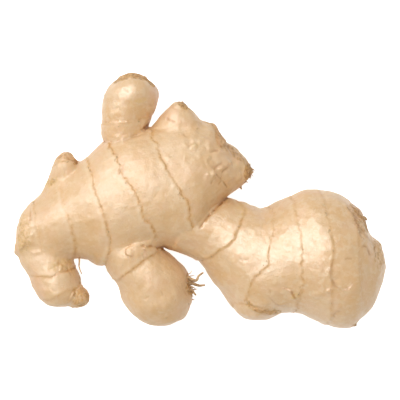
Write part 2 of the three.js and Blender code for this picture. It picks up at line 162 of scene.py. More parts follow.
# Leaf-scar rings: the line each takes over the top of its finger, from the left edge to the right one.
# A ring without a line runs straight round at a section number. lip is how high its edge stands, mark how
# brown it is, and step, where one is given, how wide the drop behind the lip is.
rings = [
    {"finger": "palm", "at": 1.9, "lip": 0.45, "mark": 0.5},
    {"finger": "palm", "lip": 0.8, "mark": 0.75, "line": [
        (-49.7, 6.3), (-46.9, -1.8), (-44.5, -7.7), (-43.8, -14), (-44.8, -19.6)]},
    {"finger": "palm", "lip": 1.0, "mark": 1, "line": [
        (-38.5, 11.9), (-36.4, 5.3), (-34, -2.8), (-31.9, -10.5), (-30.5, -14), (-32.2, -19.3),
        (-33.6, -23.8)]},
    {"finger": "palm", "lip": 1.0, "mark": 1, "line": [
        (-30.5, 18.9), (-28, 12.3), (-24.5, 5.3), (-21, -1), (-18.6, -5.3), (-16.1, -9.8), (-15.1, -15.8)]},
    {"finger": "palm", "lip": 0.8, "mark": 1, "line": [
        (-17.5, 24.5), (-14, 17.5), (-10.5, 9.8), (-7, 3.5), (-3.5, -1.8), (-3.2, -5.3), (-3.5, -10.5),
        (-5.6, -13), (-7, -16.8)]},
    {"finger": "broadEnd", "lip": 1.2, "step": 0.8, "mark": 0.9, "line": [
        (12.6, -1), (15.4, -3.5), (14.7, -5.6), (12.6, -11.2), (9.8, -15), (7, -17.5), (2.8, -20),
        (1, -20.3)]},
    {"finger": "broadEnd", "lip": 0.95, "step": 0.65, "mark": 0.7, "line": [
        (23.1, -2.1), (25.2, -5.3), (25.2, -7.7), (24.8, -12.3), (24.2, -17.5), (23.8, -21.7), (21.7, -23.8),
        (18.2, -27), (16.8, -30.5), (16.1, -34)]},
    {"finger": "broadEnd", "lip": 0.85, "step": 0.65, "mark": 0.65, "line": [
        (31.5, 1), (32.9, -3.5), (34, -8.8), (34.7, -15.8), (35, -22.8), (35.7, -28), (35, -32.2),
        (34, -35.7)]},
    {"finger": "broadEnd", "lip": 0.9, "step": 0.9, "mark": 0.35, "line": [
        (41.3, 3.5), (42.7, -1.8), (43.8, -7), (44.8, -14), (45.5, -19.3), (44.8, -21.7), (45.2, -26.3)]},
    {"finger": "broadEnd", "at": 7.4, "lip": 0.6, "mark": 0.35},
    {"finger": "upperFinger", "lip": 1, "mark": 0.8, "line": [
        (-34.6, 26.6), (-30.8, 27.1), (-26.3, 27), (-21, 27.7), (-16.8, 29)]},
    {"finger": "upperFinger", "at": 6.2, "lip": 0.5, "mark": 0.6},
    {"finger": "sideBud", "lip": 0.8, "mark": 0.6, "line": [
        (-52.4, 11.8), (-48.7, 13), (-46, 13.6), (-43.6, 14.2)]},
    {"finger": "curledFinger", "lip": 0.55, "mark": 0.6, "line": [
        (-43.2, -23.4), (-45.5, -24.7), (-49, -25.3), (-50.6, -26.5), (-52.2, -27), (-55.3, -26.5),
        (-60.2, -26.6)]},
    {"finger": "curledFinger", "lip": 0.45, "mark": 0.45, "line": [
        (-41.4, -30.2), (-44.5, -31.2), (-46.9, -31.9), (-49.4, -32.9), (-52.4, -35)]},
    {"finger": "endBud", "at": 1.1, "lip": 0.9, "mark": 0.9},
    {"finger": "lowerFinger", "lip": 0.9, "mark": 0.8, "line": [
        (-14, -17.2), (-16.8, -18.9), (-18.6, -20.3), (-21, -22.4), (-23.5, -24.2), (-27.3, -27.3)]},
    {"finger": "lowerFinger", "at": 5.2, "lip": 0.3, "mark": 0.25},
    {"finger": "shoulder", "at": 1.3, "lip": 0.3, "mark": 0.3},
    {"finger": "underBud", "at": 2.2, "lip": 0.6, "mark": 0.4},
]

# Lines on the upper skin, as (rise, depth, width, mark, cork, points). rise is how far an edge of loose
# skin stands out on the line's left side. depth is that of a crease, or of a ridge where it is below 0.
# width is half the line's, mark how brown it is, which in the creases where fingers meet is partly painted
# shade, and cork how corky.
skinLines = [
    (0, 0.95, 0.35, 1.1, 0, [(9.8, 1.2), (7.4, -1.2), (4.2, -4.2), (1.6, -7.4), (-0.4, -10)]),
    (0, 0.45, 0.3, 0.8, 0, [(-28.6, 8.6), (-27.6, 9.9), (-27, 10.7), (-25.6, 9.6)]),
    (0, 0.5, 0.35, 0.9, 0, [(-34.9, 21.4), (-33.4, 20.3), (-31.2, 19.9)]),
    (0, 0.35, 0.5, 0.4, 0, [(-32, 19.8), (-28.4, 20.4), (-24, 21.6), (-20.4, 23.6)]),
    (0, 0.8, 0.6, 1, 0, [(-20.4, 24.2), (-18.6, 25.4), (-17.2, 27)]),
    (0.35, 0, 0.25, 0.7, 0, [(-17.4, 40.4), (-19.6, 42), (-22, 42.8), (-24.6, 42.5)]),
    (0.3, 0, 0.25, 0.6, 0, [(-24.6, 42.5), (-26.6, 41.6), (-29.2, 41.4)]),
    (0, 0.2, 0.25, 0.4, 0, [(-26.6, 38.6), (-25.4, 37.8), (-24.2, 37.5)]),
    (0, 0.2, 0.25, 0.35, 0, [(-28.4, 37.2), (-27.4, 36.4), (-25.8, 36.3)]),
    (0.2, 0, 0.3, 0.3, 0, [(-16.4, 33), (-19.4, 33.4), (-22.4, 33.2)]),
    (0, 0.35, 0.25, 0.5, 0, [(-59, -2.6), (-58.9, -5), (-58.8, -7.6)]),
    (0.3, 0, 0.25, 0.6, 0, [(-61.6, -9.5), (-60.2, -8.6), (-58.6, -7.8)]),
    (0, -0.3, 0.35, 0, 0, [(-60.6, -9.6), (-60.8, -11.4), (-60.4, -13.2)]),
    (0, -0.3, 0.35, 0, 0, [(-59.6, -9.2), (-59.4, -11.2), (-59.6, -13)]),
    (0, -0.25, 0.35, 0.2, 0, [(-58.7, -9.2), (-58.2, -11), (-58.5, -13.4)]),
    (0.3, 0, 0.25, 0.6, 0, [(-63, -17.6), (-61.6, -16.6), (-60.6, -15.2)]),
    (0, -0.4, 0.7, 0, 0, [(-59, -18.9), (-56.6, -18.3), (-54, -18.2)]),
    (0.45, 0, 0.35, 0.8, 0, [(-43.2, -23.6), (-46.4, -24.8), (-49.4, -25.5), (-51, -27)]),
    (0, -0.45, 0.4, 0.2, 0, [(-47.2, -22.2), (-47.4, -24.2)]),
    (0, -0.45, 0.4, 0.2, 0, [(-48.6, -22.6), (-48.6, -24.8)]),
    (0, -0.4, 0.4, 0.2, 0, [(-45.8, -21.6), (-45.9, -23.8)]),
    (0, -0.4, 0.4, 0.2, 0, [(-50.2, -21.4), (-49.9, -23.2), (-50.3, -25)]),
    (0, -0.15, 1, 0.3, 1.1, [(-43, -22.8), (-42, -26), (-41.2, -29.6)]),
    (0.6, 0, 0.4, 0.4, 0, [(-44.2, -31.6), (-45.2, -33.4), (-46.4, -35.6)]),
    (0, 0.4, 0.35, 0.9, 0, [(-43.2, 14.4), (-42.9, 13.4), (-43, 12.5)]),
    (0, 0.4, 0.3, 0.8, 0, [(-50.4, 13.8), (-48.8, 15), (-47.6, 15.9)]),
    (0, 0.4, 0.3, 0.8, 0, [(-47.5, 16), (-46.2, 14.6), (-44.8, 14), (-43.4, 13.4)]),
    (0.4, 0, 0.3, 0.8, 0, [(-25.6, -16.5), (-25.2, -18.6), (-23.1, -19.6)]),
    (0.4, 0, 0.3, 0.8, 0, [(-20.1, -16.5), (-19.2, -18.2), (-19.6, -20.3)]),
    (0, 0.6, 0.35, 1, 0, [(-21, -16), (-17.6, -16), (-14, -16.6), (-10.6, -17.4)]),
    (0, 0.12, 0.25, 0.3, 0, [(-20.6, -33.5), (-19, -34.2), (-17.6, -33.2)]),
    (0, 0.12, 0.25, 0.3, 0, [(-14.8, -31), (-13.2, -32.2), (-13, -34)]),
    (0, 0.3, 0.3, 0.5, 0, [(-11.4, 29.2), (-10.6, 27.6), (-8.2, 26.6)]),
    (0, 0.15, 0.25, 0.4, 0, [(-6.4, 24), (-5.4, 22.6), (-4, 21.6)]),
    (0.6, 0, 0.4, 0.7, 0.5, [(2.6, 26.4), (4.8, 22.8), (5.8, 19.6), (7.2, 17.4)]),
    (0, -0.2, 1.1, 0.2, 0.6, [
        (1.8, 27.8), (4.4, 25), (6.2, 21.4), (7.6, 18.6), (10.6, 17), (14, 14.4), (16, 11.4)]),
    (0, 0.6, 0.45, 0.7, 0, [(7.4, 19.4), (8.6, 18.6), (10.2, 18.2)]),
    (0, 0.35, 0.35, 0.5, 0, [(4.6, 10.4), (6.4, 12), (8, 13)]),
    (0, -0.4, 0.45, 0, 0, [(6, 10.3), (8.2, 11.8), (10.4, 13.2)]),
    (0, 0.3, 0.3, 0.4, 0, [(7.2, 9.4), (8.6, 10.6), (9.6, 11.2)]),
    (0, -0.45, 0.45, 0, 0, [(2, 9), (3.6, 8.6), (5, 9.4)]),
    (0, 0.35, 0.25, 0.9, 0, [(4.9, 9.5), (7, 7.2), (8.4, 5.8), (9.7, 4.1)]),
    (0, 0.25, 0.25, 0.5, 0, [(3.8, 5.4), (4.4, 7), (5.5, 7.9)]),
    (0, 0.25, 0.25, 0.5, 0, [(6.3, 5.4), (7.6, 6.8)]),
    (0, -0.4, 0.45, 0, 0, [(2.4, 17.6), (3.4, 17.2), (4.2, 16.4)]),
    (0, 0.35, 0.35, 0.6, 0, [(3.4, 16.4), (4.6, 16.9), (6, 16.6)]),
    (0, -0.3, 0.4, 0, 0, [(-3.2, 17), (-2.2, 18.4), (-1, 19)]),
    (0, 0.2, 0.3, 0.5, 0, [(-4.2, 18), (-2.9, 19.3), (-1.6, 19.4)]),
    (0.3, 0, 0.4, 0.6, 0, [
        (53.4, -27.2), (50.8, -30.4), (48.2, -30.4), (45.2, -28), (44.8, -24), (45.5, -19.3)]),
    (0.45, 0, 0.3, 0.8, 0, [(33.4, -33.8), (32.2, -32.2), (30.4, -30.8), (27.9, -30.1)]),
    (0.35, 0, 0.3, 0.5, 0, [(24.4, -30), (24.2, -33), (26.4, -35.6), (30, -36.6)]),
    (0, -0.5, 0.6, 0, 0, [(38.5, -33.3), (42, -31.9), (45.5, -30.8)]),
    (0, 0.15, 0.25, 0.4, 0, [(49.4, -20.3), (50.8, -20.1), (52.5, -20)]),
    (0, 0.2, 0.35, 0.4, 0, [(13.4, -20), (15.4, -20.7), (17.2, -20.6)]),
    (0.5, 0, 0.5, 0.6, 0.3, [
        (56.9, -14.2), (55.3, -12.6), (54.4, -9.8), (53.4, -7.2), (51.4, -4), (50.2, -1)]),
    (0.35, 0, 0.35, 1, 0, [(59.2, -15), (56.6, -12), (54.8, -9.4), (53, -7.6)]),
    (0, 0.3, 0.35, 1, 0, [(52.4, -0.6), (54.6, -2.8), (56.6, -5.4), (57.8, -8)]),
    (0, 0.25, 0.3, 0.9, 0, [(53, -4), (54.6, -6.6), (56.2, -8.4)]),
    (0.25, 0, 0.3, 0.9, 0, [(60.4, -19.4), (60.2, -16.6), (58.4, -14.2)]),
    (0, 0.2, 0.3, 0.8, 0, [(55.6, -15.4), (57.4, -17.2), (58.4, -19.6)]),
    (0, 0.3, 0.8, 0.5, 0.8, [(52.6, -1.8), (54.6, -4.6), (57, -8), (58.6, -11)]),
    (0.25, 0, 0.3, 0.5, 0, [(46.9, -40.6), (46.2, -39.6), (47.2, -38.2), (48.6, -38)]),
    (0, 0.2, 0.9, 0.4, 0.7, [(16.6, -35.8), (19, -37.6), (22, -38.6), (26, -38.6)]),
]

# Scars on the upper skin, as (x, y, half length, half width, turn in degrees, cork, yellow, pink)
scars = [
    (-27, 42.4, 3.6, 1.3, 24, 0.9, 0.2, 0),
    (-21.2, 42.9, 4.4, 1.5, -14, 1.2, 0, 0),
    (-17, 40.6, 1.8, 0.9, -50, 0.95, 0, 0),
    (-47.2, 15.6, 4, 1.9, 0, 0.45, 0.3, 0.6),
    (-43.4, 13.4, 0.9, 1.9, 0, 1.2, 0, 0),
    (-52, 6, 2.2, 1.5, 35, 0.5, 1, 0),
    (-61, -12, 2.4, 7.4, -4, 0.42, 0.6, 0),
    (-57.4, -31, 3.4, 7, 12, 0, 0, 0.8),
    (-48.4, -22.6, 4.4, 3, 8, 0.32, 0.5, 0),
    (-41.4, -34.2, 3.6, 4.2, 0, 0.62, 0.6, 0.2),
    (-3, -29.8, 1.8, 3.8, 0, 0.9, 0, 0),
    (16.6, 9.8, 2.1, 4, 0, 1.3, 0, 0),
    (12.4, 15.4, 4, 1.6, -38, 0.6, 0, 0),
    (-1.8, 18.4, 1.8, 1, 30, 0.25, 0.3, 0),
    (7.6, 13, 5, 4, 20, 0.16, 0, 0.2),
    (-9.9, 15, 0.8, 0.7, 0, 0.5, 0, 0),
    (-1, 24.5, 0.5, 0.5, 0, 0.6, 0, 0),
    (-5.4, 32.9, 4.2, 1.7, -24, 0.75, 0.6, 0),
    (-1.8, 31.2, 1.8, 1.6, -40, 0.1, 0.5, 0.4),
    (18.2, -37.2, 3, 1.2, -35, 0.6, 0.9, 0),
    (24.6, -38.8, 4.6, 1.1, -2, 0.6, 0.7, 0),
    (32.9, -32.9, 1.4, 1, 0, 0.3, 1, 0),
    (54, -43.4, 2, 1.1, 20, 0.7, 0.3, 0),
    (57.6, -6.7, 1, 1.4, 20, 0.9, 0, 0),
    (51, 1.4, 2.4, 0.8, -25, 0.6, 0, 0),
    (61.4, -18, 2.8, 7, 16, 0.48, 0, 0),
    (54.4, -7, 2.6, 6.4, 30, 0.52, 0, 0),
    (-21, 34.4, 2.4, 1, 8, 0, 0.9, 0),
    (-15.4, 37, 2, 4.4, 0, 0, 0, 0.9),
    (-26.6, 24.2, 8.4, 2.4, 8, 0.12, 0.3, 0.45),
    (-10, 30, 3, 3, 30, 0, 0, 0.7),
    (-27, 13, 1, 4.6, 24, 0, 0.2, 0.8),
    (-36.6, 8.4, 1.2, 5, 18, 0, 0.3, 0.7),
    (-33.2, -22, 1, 2, 0, 0.2, 1, 0),
    (14.2, -3, 2.4, 2.4, 0, 0, 0.8, 0),
    (-34.4, 21, 2, 3, 0, 0.1, 0, 0.6),
    (37, 2.4, 4, 2, 0, 0.1, 0.2, 0.3),
]

# Places where the upper skin is bumpy and wrinkled: centre, radius and how strongly
bumpySpots = [
    ((9, 13), 9, 1.8), ((0, 20), 9, 1.2), ((58, -17), 10, 0.7), ((54, -4), 7, 0.8), ((-61, -12), 7, 1.1),
    ((-48, -23), 7, 0.9), ((-42, -34), 5, 1.0), ((-22, -19), 7, 0.4), ((22, -38), 7, 0.9),
    ((44, -30), 9, 0.55), ((-4, -30), 5, 0.8), ((-16, -34), 8, 0.4), ((-23, 43), 4, 0.8), ((-48, 15), 4, 1),
    ((34, 2), 6, 0.4), ((-5, 33), 4, 1.2), ((4, 25), 5, 0.7), ((15, 10), 5, 1.4),
]

# Where a finger grows out of another without a crease: centre and radius
smoothJoints = [
    ((-50, 4), 7), ((-6.5, 26), 8), ((-29, -17), 6), ((-27, 20), 4), ((24, -27), 8),
    ((-54, -19), 9), ((-20, -18), 5),
]

# Small lumps of the upper skin: x, y and radius
lumps = [
    (-2, 18.6, 0.9), (0.6, 17, 0.8), (2.4, 14.4, 1), (5.6, 16, 1.1), (3, 19.4, 0.9), (7.2, 16.4, 1),
    (-10.6, 14.6, 1.1), (9.8, 13.6, 1.8), (7.6, 10.6, 1.6), (4.2, 9, 1.3), (9, 8, 1), (13.2, 12.4, 1.3),
    (4, 25, 1.9), (9.6, 19, 1.9), (-27, 10.2, 1.2), (-62, -6, 1.4), (-60, -14, 1.6), (-61.6, -10.4, 1.2),
    (-62.4, -17, 1.3), (-46.4, 15.4, 1.1), (-49.6, 13.6, 1.1), (15, -1.6, 1.5), (36.4, 3, 4.2),
    (57.2, -6.2, 1.4), (55.4, -3.2, 1.3), (61.6, -15, 1.4), (52.4, -31, 1.2), (32.6, -33, 1.3),
    (20.6, -37.6, 1.7), (24.4, -38.4, 1.4), (-20, 42.6, 1.4), (-27.6, 42.8, 1.3), (-5.4, 34, 1.2),
    (-7.8, 33.4, 1.3), (15.8, 11.6, 1.3), (16.4, 8, 1.2), (-41.4, -35.4, 1.5), (-42, -32.6, 1.3),
]

# The relief of the skin, with lengths in millimetres
skinRelief = {
    "voxel": 0.37,
    "mostTriangles": 192000,
    "relaxRounds": 4,
    "jointRounds": 220,
    "bodyRounds": 70,  # enough to leave no step where one finger meets the next
    "ringLip": 0.26,
    "lipReach": 1.9,
    "grooveShare": 0.65,
    "grooveReach": 0.9,
    "ringReach": 1.3,  # how many sections a ring shapes on either side
    "ringStep": 0.42,  # how wide the drop behind a ring's lip is
    "ringJag": 0.42,
    "edgeReach": 1.7,  # how far back an edge of loose skin starts to rise
    "jointSwell": 0.38,
    "unevenness": 0.28,
    "tipFade": 5,  # half width under which the relief fades
    "tipRelief": 0.35,  # the share of the relief that a tip keeps
    "lumpRise": 0.32,
    "lumpSpread": 1.25,
    "leastBumpy": 0.22,
    "foldHeight": 0.12,
    "wrinkleHeight": 0.08,
    "corkRoughness": 0.6,
}

# Layers of soft noise, each as (height, size, seed)
noiseLayers = {
    "scarEdge": [(0.3, 2.2, 11), (0.2, 1, 12)],
    "underCork": [(1, 9, 21), (0.4, 3, 22)],
    "corkLumps": [(0.5, 2.2, 31), (0.45, 1.1, 32)],
    "skin": [(0.18, 9, 33), (0.12, 3.6, 34), (0.09, 1.4, 35)],
    "clumps": [(1, 2.6, 51), (0.6, 1.1, 52)],
    "bumps": [(0.24, 3.2, 61), (0.17, 1.7, 62), (0.1, 1, 63)],
}


# Smooth values from -1 to 1 through space, the same at every run
def softNoise(places, size, seed):
    scaled = np.asarray(places, float) / size + seed * 31.7
    cell = np.floor(scaled).astype(np.int64)
    part = scaled - cell
    fade = part * part * (3 - 2 * part)
    total = np.zeros(len(scaled))
    for corner in itertools.product((0, 1), repeat=3):
        key = (cell + corner) @ np.array([73856093, 19349663, 83492791]) + seed * 2654435761
        key = (key ^ (key >> 13)) * 1274126177 & 0xFFFFFFFF
        key = (key ^ (key >> 16)) * 668265263 & 0xFFFFFFFF
        weight = np.prod(np.where(np.array(corner) == 1, fade, 1 - fade), axis=1)
        total += ((key >> 8) & 0xFFFF) / 32767.5 * weight - weight
    return total


def layeredNoise(places, name):
    return sum(high * softNoise(places, size, seed) for high, size, seed in noiseLayers[name])


def smoothStep(value, low, high):
    share = np.clip((value - low) / (high - low), 0, 1)
    return share * share * (3 - 2 * share)


# A Catmull-Rom curve through rows of numbers, read at row numbers with fractions
def curveThrough(rows, at):
    last = len(rows) - 1
    at = np.clip(at, 0, last)
    first = np.minimum(np.floor(at).astype(int), last - 1)
    t = (at - first)[:, None]
    padded = np.vstack([2 * rows[0] - rows[1], rows, 2 * rows[-1] - rows[-2]])
    before, start, end, after = (padded[first + step] for step in range(4))
    bend = (3 * (start - end) + after - before) * t ** 3
    slope = (2 * before - 5 * start + 4 * end - after) * t ** 2
    return (bend + slope + (end - before) * t) / 2 + start


for form in rootForm.values():
    tipX, tipY, tipZ = form["tip"]
    form["rows"] = np.array(form["sections"] + [(tipX, tipY, tipX, tipY, tipZ, 0, 0)], float)


# Points of a finger's plain skin: at is the section number, angle runs from the left edge over the top
def plainSkin(form, at, angle):
    row = curveThrough(form["rows"], at)
    left, right = row[:, 0:2], row[:, 2:4]
    across = (right - left) / 2
    side = across / np.maximum(np.linalg.norm(across, axis=1, keepdims=True), 1e-6)
    ahead = np.stack([-side[:, 1], side[:, 0]], axis=1)
    reach = -np.cos(angle)[:, None]
    rise = np.sin(angle)[:, None]
    flat = (left + right) / 2 + across * reach + ahead * row[:, 6:7] * rise * (1 + form["skew"] * reach)
    return np.hstack([flat, row[:, 4:5] + rise * np.maximum(row[:, 5:6], 0)])


# The loft of one finger as rows of points, with the section number and angle of each
def loftFinger(form, rowStep=0.05, sides=112):
    last = len(form["rows"]) - 1
    ats = np.append(np.arange(0, last - rowStep / 2, rowStep), last - 0.015)  # stops just short of the tip
    angles = np.arange(sides) * 2 * math.pi / sides
    at, angle = (grid.ravel() for grid in np.meshgrid(ats, angles, indexing="ij"))
    return at, angle, plainSkin(form, at, angle), len(ats)


def loftFaces(rowCount, sides, start):
    corner = np.arange((rowCount - 1) * sides).reshape(-1, sides)
    after = np.roll(corner, -1, axis=1)
    quads = np.stack([corner, after, after + sides, corner + sides], axis=-1).reshape(-1, 4) + start
    base = start + np.arange(sides)
    end = base + (rowCount - 1) * sides
    pole = start + rowCount * sides
    around = np.roll(np.arange(sides), -1)
    startCap = np.stack([base[around], base, np.full(sides, pole)], axis=1)
    endCap = np.stack([end, end[around], np.full(sides, pole + 1)], axis=1)
    return quads.tolist() + startCap.tolist() + endCap.tolist()


def buildLofts():
    places, faces, owners, ats, angles = [], [], [], [], []
    start = 0
    for number, form in enumerate(rootForm.values()):
        at, angle, points, rowCount = loftFinger(form)
        sides = len(at) // rowCount
        poles = np.array([points[:sides].mean(axis=0), form["tip"]])
        faces += loftFaces(rowCount, sides, start)
        places.append(np.vstack([points, poles]))
        owners.append(np.full(len(points), number))
        ats.append(at)
        angles.append(angle)
        start += len(points) + 2
    mesh = bpy.data.meshes.new("loftedFingers")
    mesh.from_pydata((np.vstack(places) * mm).tolist(), [], faces)
    mesh.update()
    samples = np.vstack([each[:-2] for each in places])
    return mesh, samples, np.concatenate(owners), np.concatenate(ats), np.concatenate(angles)


def addObject(name, data):
    thing = bpy.data.objects.new(name, data)
    scene.collection.objects.link(thing)
    return thing


# One closed skin over all the fingers
def fuseFingers(mesh):
    raw = addObject("loftedFingers", mesh)
    remesh = raw.modifiers.new("fuse", "REMESH")
    remesh.mode = "VOXEL"
    remesh.voxel_size = skinRelief["voxel"] * mm
    graph = bpy.context.evaluated_depsgraph_get()
    fused = bpy.data.meshes.new_from_object(raw.evaluated_get(graph))
    bpy.data.objects.remove(raw)
    return fused


def readPlaces(mesh):
    flat = np.empty(len(mesh.vertices) * 3)
    mesh.vertices.foreach_get("co", flat)
    return flat.reshape(-1, 3) / mm


def writePlaces(mesh, places):
    mesh.vertices.foreach_set("co", (places * mm).ravel())
    mesh.update()


def readNormals(mesh):
    flat = np.empty(len(mesh.vertices) * 3)
    mesh.vertex_normals.foreach_get("vector", flat)
    return flat.reshape(-1, 3)


def readEdges(mesh):
    ends = np.empty(len(mesh.edges) * 2, int)
    mesh.edges.foreach_get("vertices", ends)
    return ends.reshape(-1, 2)


# Each point moves towards the middle of its neighbours
def relax(places, edges, rounds, pull=0.5):
    ends = np.concatenate([edges[:, 0], edges[:, 1]])
    others = np.concatenate([edges[:, 1], edges[:, 0]])
    count = np.maximum(np.bincount(ends, minlength=len(places)), 1)[:, None]
    for _ in range(rounds):
        middle = np.stack([np.bincount(ends, places[others, axis], len(places))
                           for axis in range(places.shape[1])], axis=1) / count
        places = places + (middle - places) * pull
    return places


# How far points lie from a spot, seen from above
def farFrom(places, spot):
    return np.hypot(places[:, 0] - spot[0], places[:, 1] - spot[1])


def softenJoints(places, edges):
    weight = np.zeros(len(places))
    for spot, radius in smoothJoints:
        weight = np.maximum(weight, np.exp(-(farFrom(places, spot) / radius) ** 4))
    weight *= smoothStep(places[:, 2], 8, 15)  # the lower half keeps its form
    near = weight > 0.01
    number = np.cumsum(near) - 1
    soft = relax(places[near], number[edges[near[edges].all(axis=1)]], skinRelief["jointRounds"])
    places[near] += (soft - places[near]) * weight[near][:, None]
    return places


# A tree that finds the nearest of many points
def plantTree(points):
    tree = KDTree(len(points))
    for number, point in enumerate(points):
        tree.insert(point, number)
    tree.balance()
    return tree


# Which finger each point of the skin belongs to, its section number and angle on it, and the way it grows
def findOnFingers(places, samples, owners, ats, angles):
    tree = plantTree(samples)
    nearest = np.array([tree.find(point)[1] for point in places])
    owner, at, angle = owners[nearest], ats[nearest].copy(), angles[nearest].copy()
    along = np.zeros_like(places)
    nudge = 0.01
    for number, form in enumerate(rootForm.values()):
        mine = owner == number
        last = len(form["rows"]) - 1
        for _ in range(2):
            here = plainSkin(form, at[mine], angle[mine])
            byAt = (plainSkin(form, at[mine] + nudge, angle[mine]) - here) / nudge
            byAngle = (plainSkin(form, at[mine], angle[mine] + nudge) - here) / nudge
            off = places[mine] - here
            aa, bb = (byAt ** 2).sum(1) + 1e-3, (byAngle ** 2).sum(1) + 1e-3
            ab, ao, bo = (byAt * byAngle).sum(1), (byAt * off).sum(1), (byAngle * off).sum(1)
            det = np.maximum(aa * bb - ab ** 2, 1e-6)
            at[mine] += np.clip((ao * bb - bo * ab) / det, -0.06, 0.06)  # no further than the next sample
            angle[mine] += np.clip((bo * aa - ao * ab) / det, -0.08, 0.08)
            at[mine] = np.clip(at[mine], 0, last)
        along[mine] = byAt / np.sqrt(aa)[:, None]
    return owner, at, angle % (2 * math.pi), along


# The section number of a ring at every half degree round its finger, with a ragged edge
def ringCourse(ring, number):
    form = rootForm[ring["finger"]]
    angle = np.radians(np.arange(0, 360, 0.5))
    if "line" in ring:
        at, around, points, _ = loftFinger(form)
        upper = around < math.pi
        found = [np.argmin(((points[upper, :2] - spot) ** 2).sum(1)) for spot in np.array(ring["line"])]
        spotAt, spotAngle = at[upper][found], around[upper][found]
        order = np.argsort(spotAngle)
        course = np.interp(angle, spotAngle[order], spotAt[order], period=2 * math.pi)
    else:
        course = np.full(len(angle), float(ring["at"]))
    soft = np.hanning(25)
    course = np.convolve(np.tile(course, 3), soft / soft.sum(), "same")[len(angle):2 * len(angle)]
    points = plainSkin(form, course, angle)
    ragged = softNoise(points, 5, 40 + number) + 0.5 * softNoise(points, 1.7, 60 + number)
    ragged += 0.6 * softNoise(points, 0.9, 80 + number)
    course = course + ragged * skinRelief["ringJag"] / 7  # a section is about 7 mm long
    return angle, course, plainSkin(form, course, angle)


# Where points lie by a smooth line, seen from above: distance, left side positive, and share of its length
def besideLine(places, line):
    rows = np.array(line, float)
    line = curveThrough(rows, np.linspace(0, len(rows) - 1, 6 * len(rows)))
    best, side, along = np.full(len(places), 1e9), np.zeros(len(places)), np.zeros(len(places))
    for number, (start, end) in enumerate(zip(line, line[1:])):
        step = end - start
        off = places[:, :2] - start
        share = np.clip(off @ step / (step @ step), 0, 1)
        far = np.linalg.norm(off - share[:, None] * step, axis=1)
        closer = far < best
        best = np.where(closer, far, best)
        side = np.where(closer, np.where(step[0] * off[:, 1] > step[1] * off[:, 0], far, -far), side)
        along = np.where(closer, (number + share) / (len(line) - 1), along)
    return best, side, along


# The unevenness of a finger, how its relief fades where it is thin, and the grain of its skin
def shapeFinger(skin, number, form, mine, at, angle):
    row = curveThrough(form["rows"], at)
    halfWidth = np.linalg.norm(row[:, 2:4] - row[:, 0:2], axis=1) / 2
    skin["fade"][mine] = np.clip(np.minimum(halfWidth, row[:, 5]) / skinRelief["tipFade"], 0, 1)
    phase = form["phase"]
    uneven = np.sin(2 * angle + at * 1.3 + phase) * np.sin(at * 2.1 + phase)
    uneven += 0.6 * np.sin(5 * angle - at * 1.7 + phase) * np.cos(at * 1.1 + 2 * phase)
    skin["body"][mine] += uneven * skinRelief["unevenness"]
    skin["grain"][mine] = np.stack([10 * np.cos(angle), 10 * np.sin(angle), 7 * at + 40 * number], axis=1)


# The lips and grooves of a finger's rings, and the swelling between them
def cutRings(skin, name, mine, places, at, angle):
    before = np.zeros(len(mine))
    after = np.full(len(mine), len(rootForm[name]["sections"]), float)
    for number, ring in enumerate(rings):
        if ring["finger"] != name:
            continue
        ringAngle, course, line = ringCourse(ring, number)
        ringAt = np.interp(angle, ringAngle, course, period=2 * math.pi)
        past = at - ringAt
        before = np.where(past >= 0, np.maximum(before, ringAt), before)
        after = np.where(past < 0, np.minimum(after, ringAt), after)
        near = np.flatnonzero(np.abs(past) < skinRelief["ringReach"])
        here, spots = places[near], mine[near]
        tree = plantTree(line)
        far = np.array([tree.find(point)[2] for point in here])
        side = np.where(past[near] >= 0, far, -far)
        lift = 0.75 + 0.5 * softNoise(here, 6, 100 + number)
        lift += 0.35 * softNoise(here, 1.8, 120 + number)
        high = ring["lip"] * skinRelief["ringLip"]
        lip = high * lift * np.exp(np.minimum(side, 0) / skinRelief["lipReach"])
        groove = -high * skinRelief["grooveShare"] * np.exp(-np.maximum(side, 0) / skinRelief["grooveReach"])
        step = smoothStep(side, -0.1, ring.get("step", skinRelief["ringStep"]))
        skin["height"][spots] += lip * (1 - step) + groove * step
        closer = np.abs(side) < np.abs(skin["ringSide"][spots])
        skin["ringSide"][spots[closer]] = side[closer]
        skin["ringMark"][spots[closer]] = ring["mark"] * np.exp(-(side[closer] / 3) ** 2)
    between = (at - before) / np.maximum(after - before, 0.2)
    skin["body"][mine] += np.sin(math.pi * np.clip(between, 0, 1)) * skinRelief["jointSwell"]


def raiseLumps(skin, places, upper):
    for x, y, radius in lumps:
        far = farFrom(places, (x, y)) / (radius * skinRelief["lumpSpread"])
        skin["height"] += upper * radius * skinRelief["lumpRise"] * np.exp(-far * far)


def drawLines(skin, places, upper):
    for number, (rise, depth, width, mark, cork, line) in enumerate(skinLines):
        low, high = np.min(line, axis=0) - 5, np.max(line, axis=0) + 5
        near = np.flatnonzero((upper > 0) & (places[:, :2] > low).all(1) & (places[:, :2] < high).all(1))
        here = places[near]
        shifted = here + 0.3 * softNoise(here, 1.6, 130 + number)[:, None]
        far, side, share = besideLine(shifted, line)
        ends = upper[near] * smoothStep(share, -0.01, 0.16) * (1 - smoothStep(share, 0.84, 1.01))
        dashed = ends * (0.4 + 0.6 * smoothStep(softNoise(here, 1.5, 200 + number), -0.4, 0.2))
        lift = smoothStep(side, -0.12, 0.16) * np.exp(-np.maximum(side, 0) / skinRelief["edgeReach"])
        groove = depth * np.exp(-(far / width) ** 2 / 2)
        skin["height"][near] += ends * rise * lift - dashed * groove
        # partly painted shade: the brown along a line, strongest in the creases where fingers meet
        brown = dashed * mark * np.exp(-(np.minimum(side + 0.1, far) / width) ** 2)
        skin["lineBrownAndCreaseShade"][near] = np.maximum(skin["lineBrownAndCreaseShade"][near], brown * (far < 3 * width))
        strip = 1 - smoothStep(far / width + 0.5 * softNoise(here, 1.2, 260 + number), 0.5, 1.3)
        skin["cork"][near] = np.maximum(skin["cork"][near], upper[near] * strip * cork)


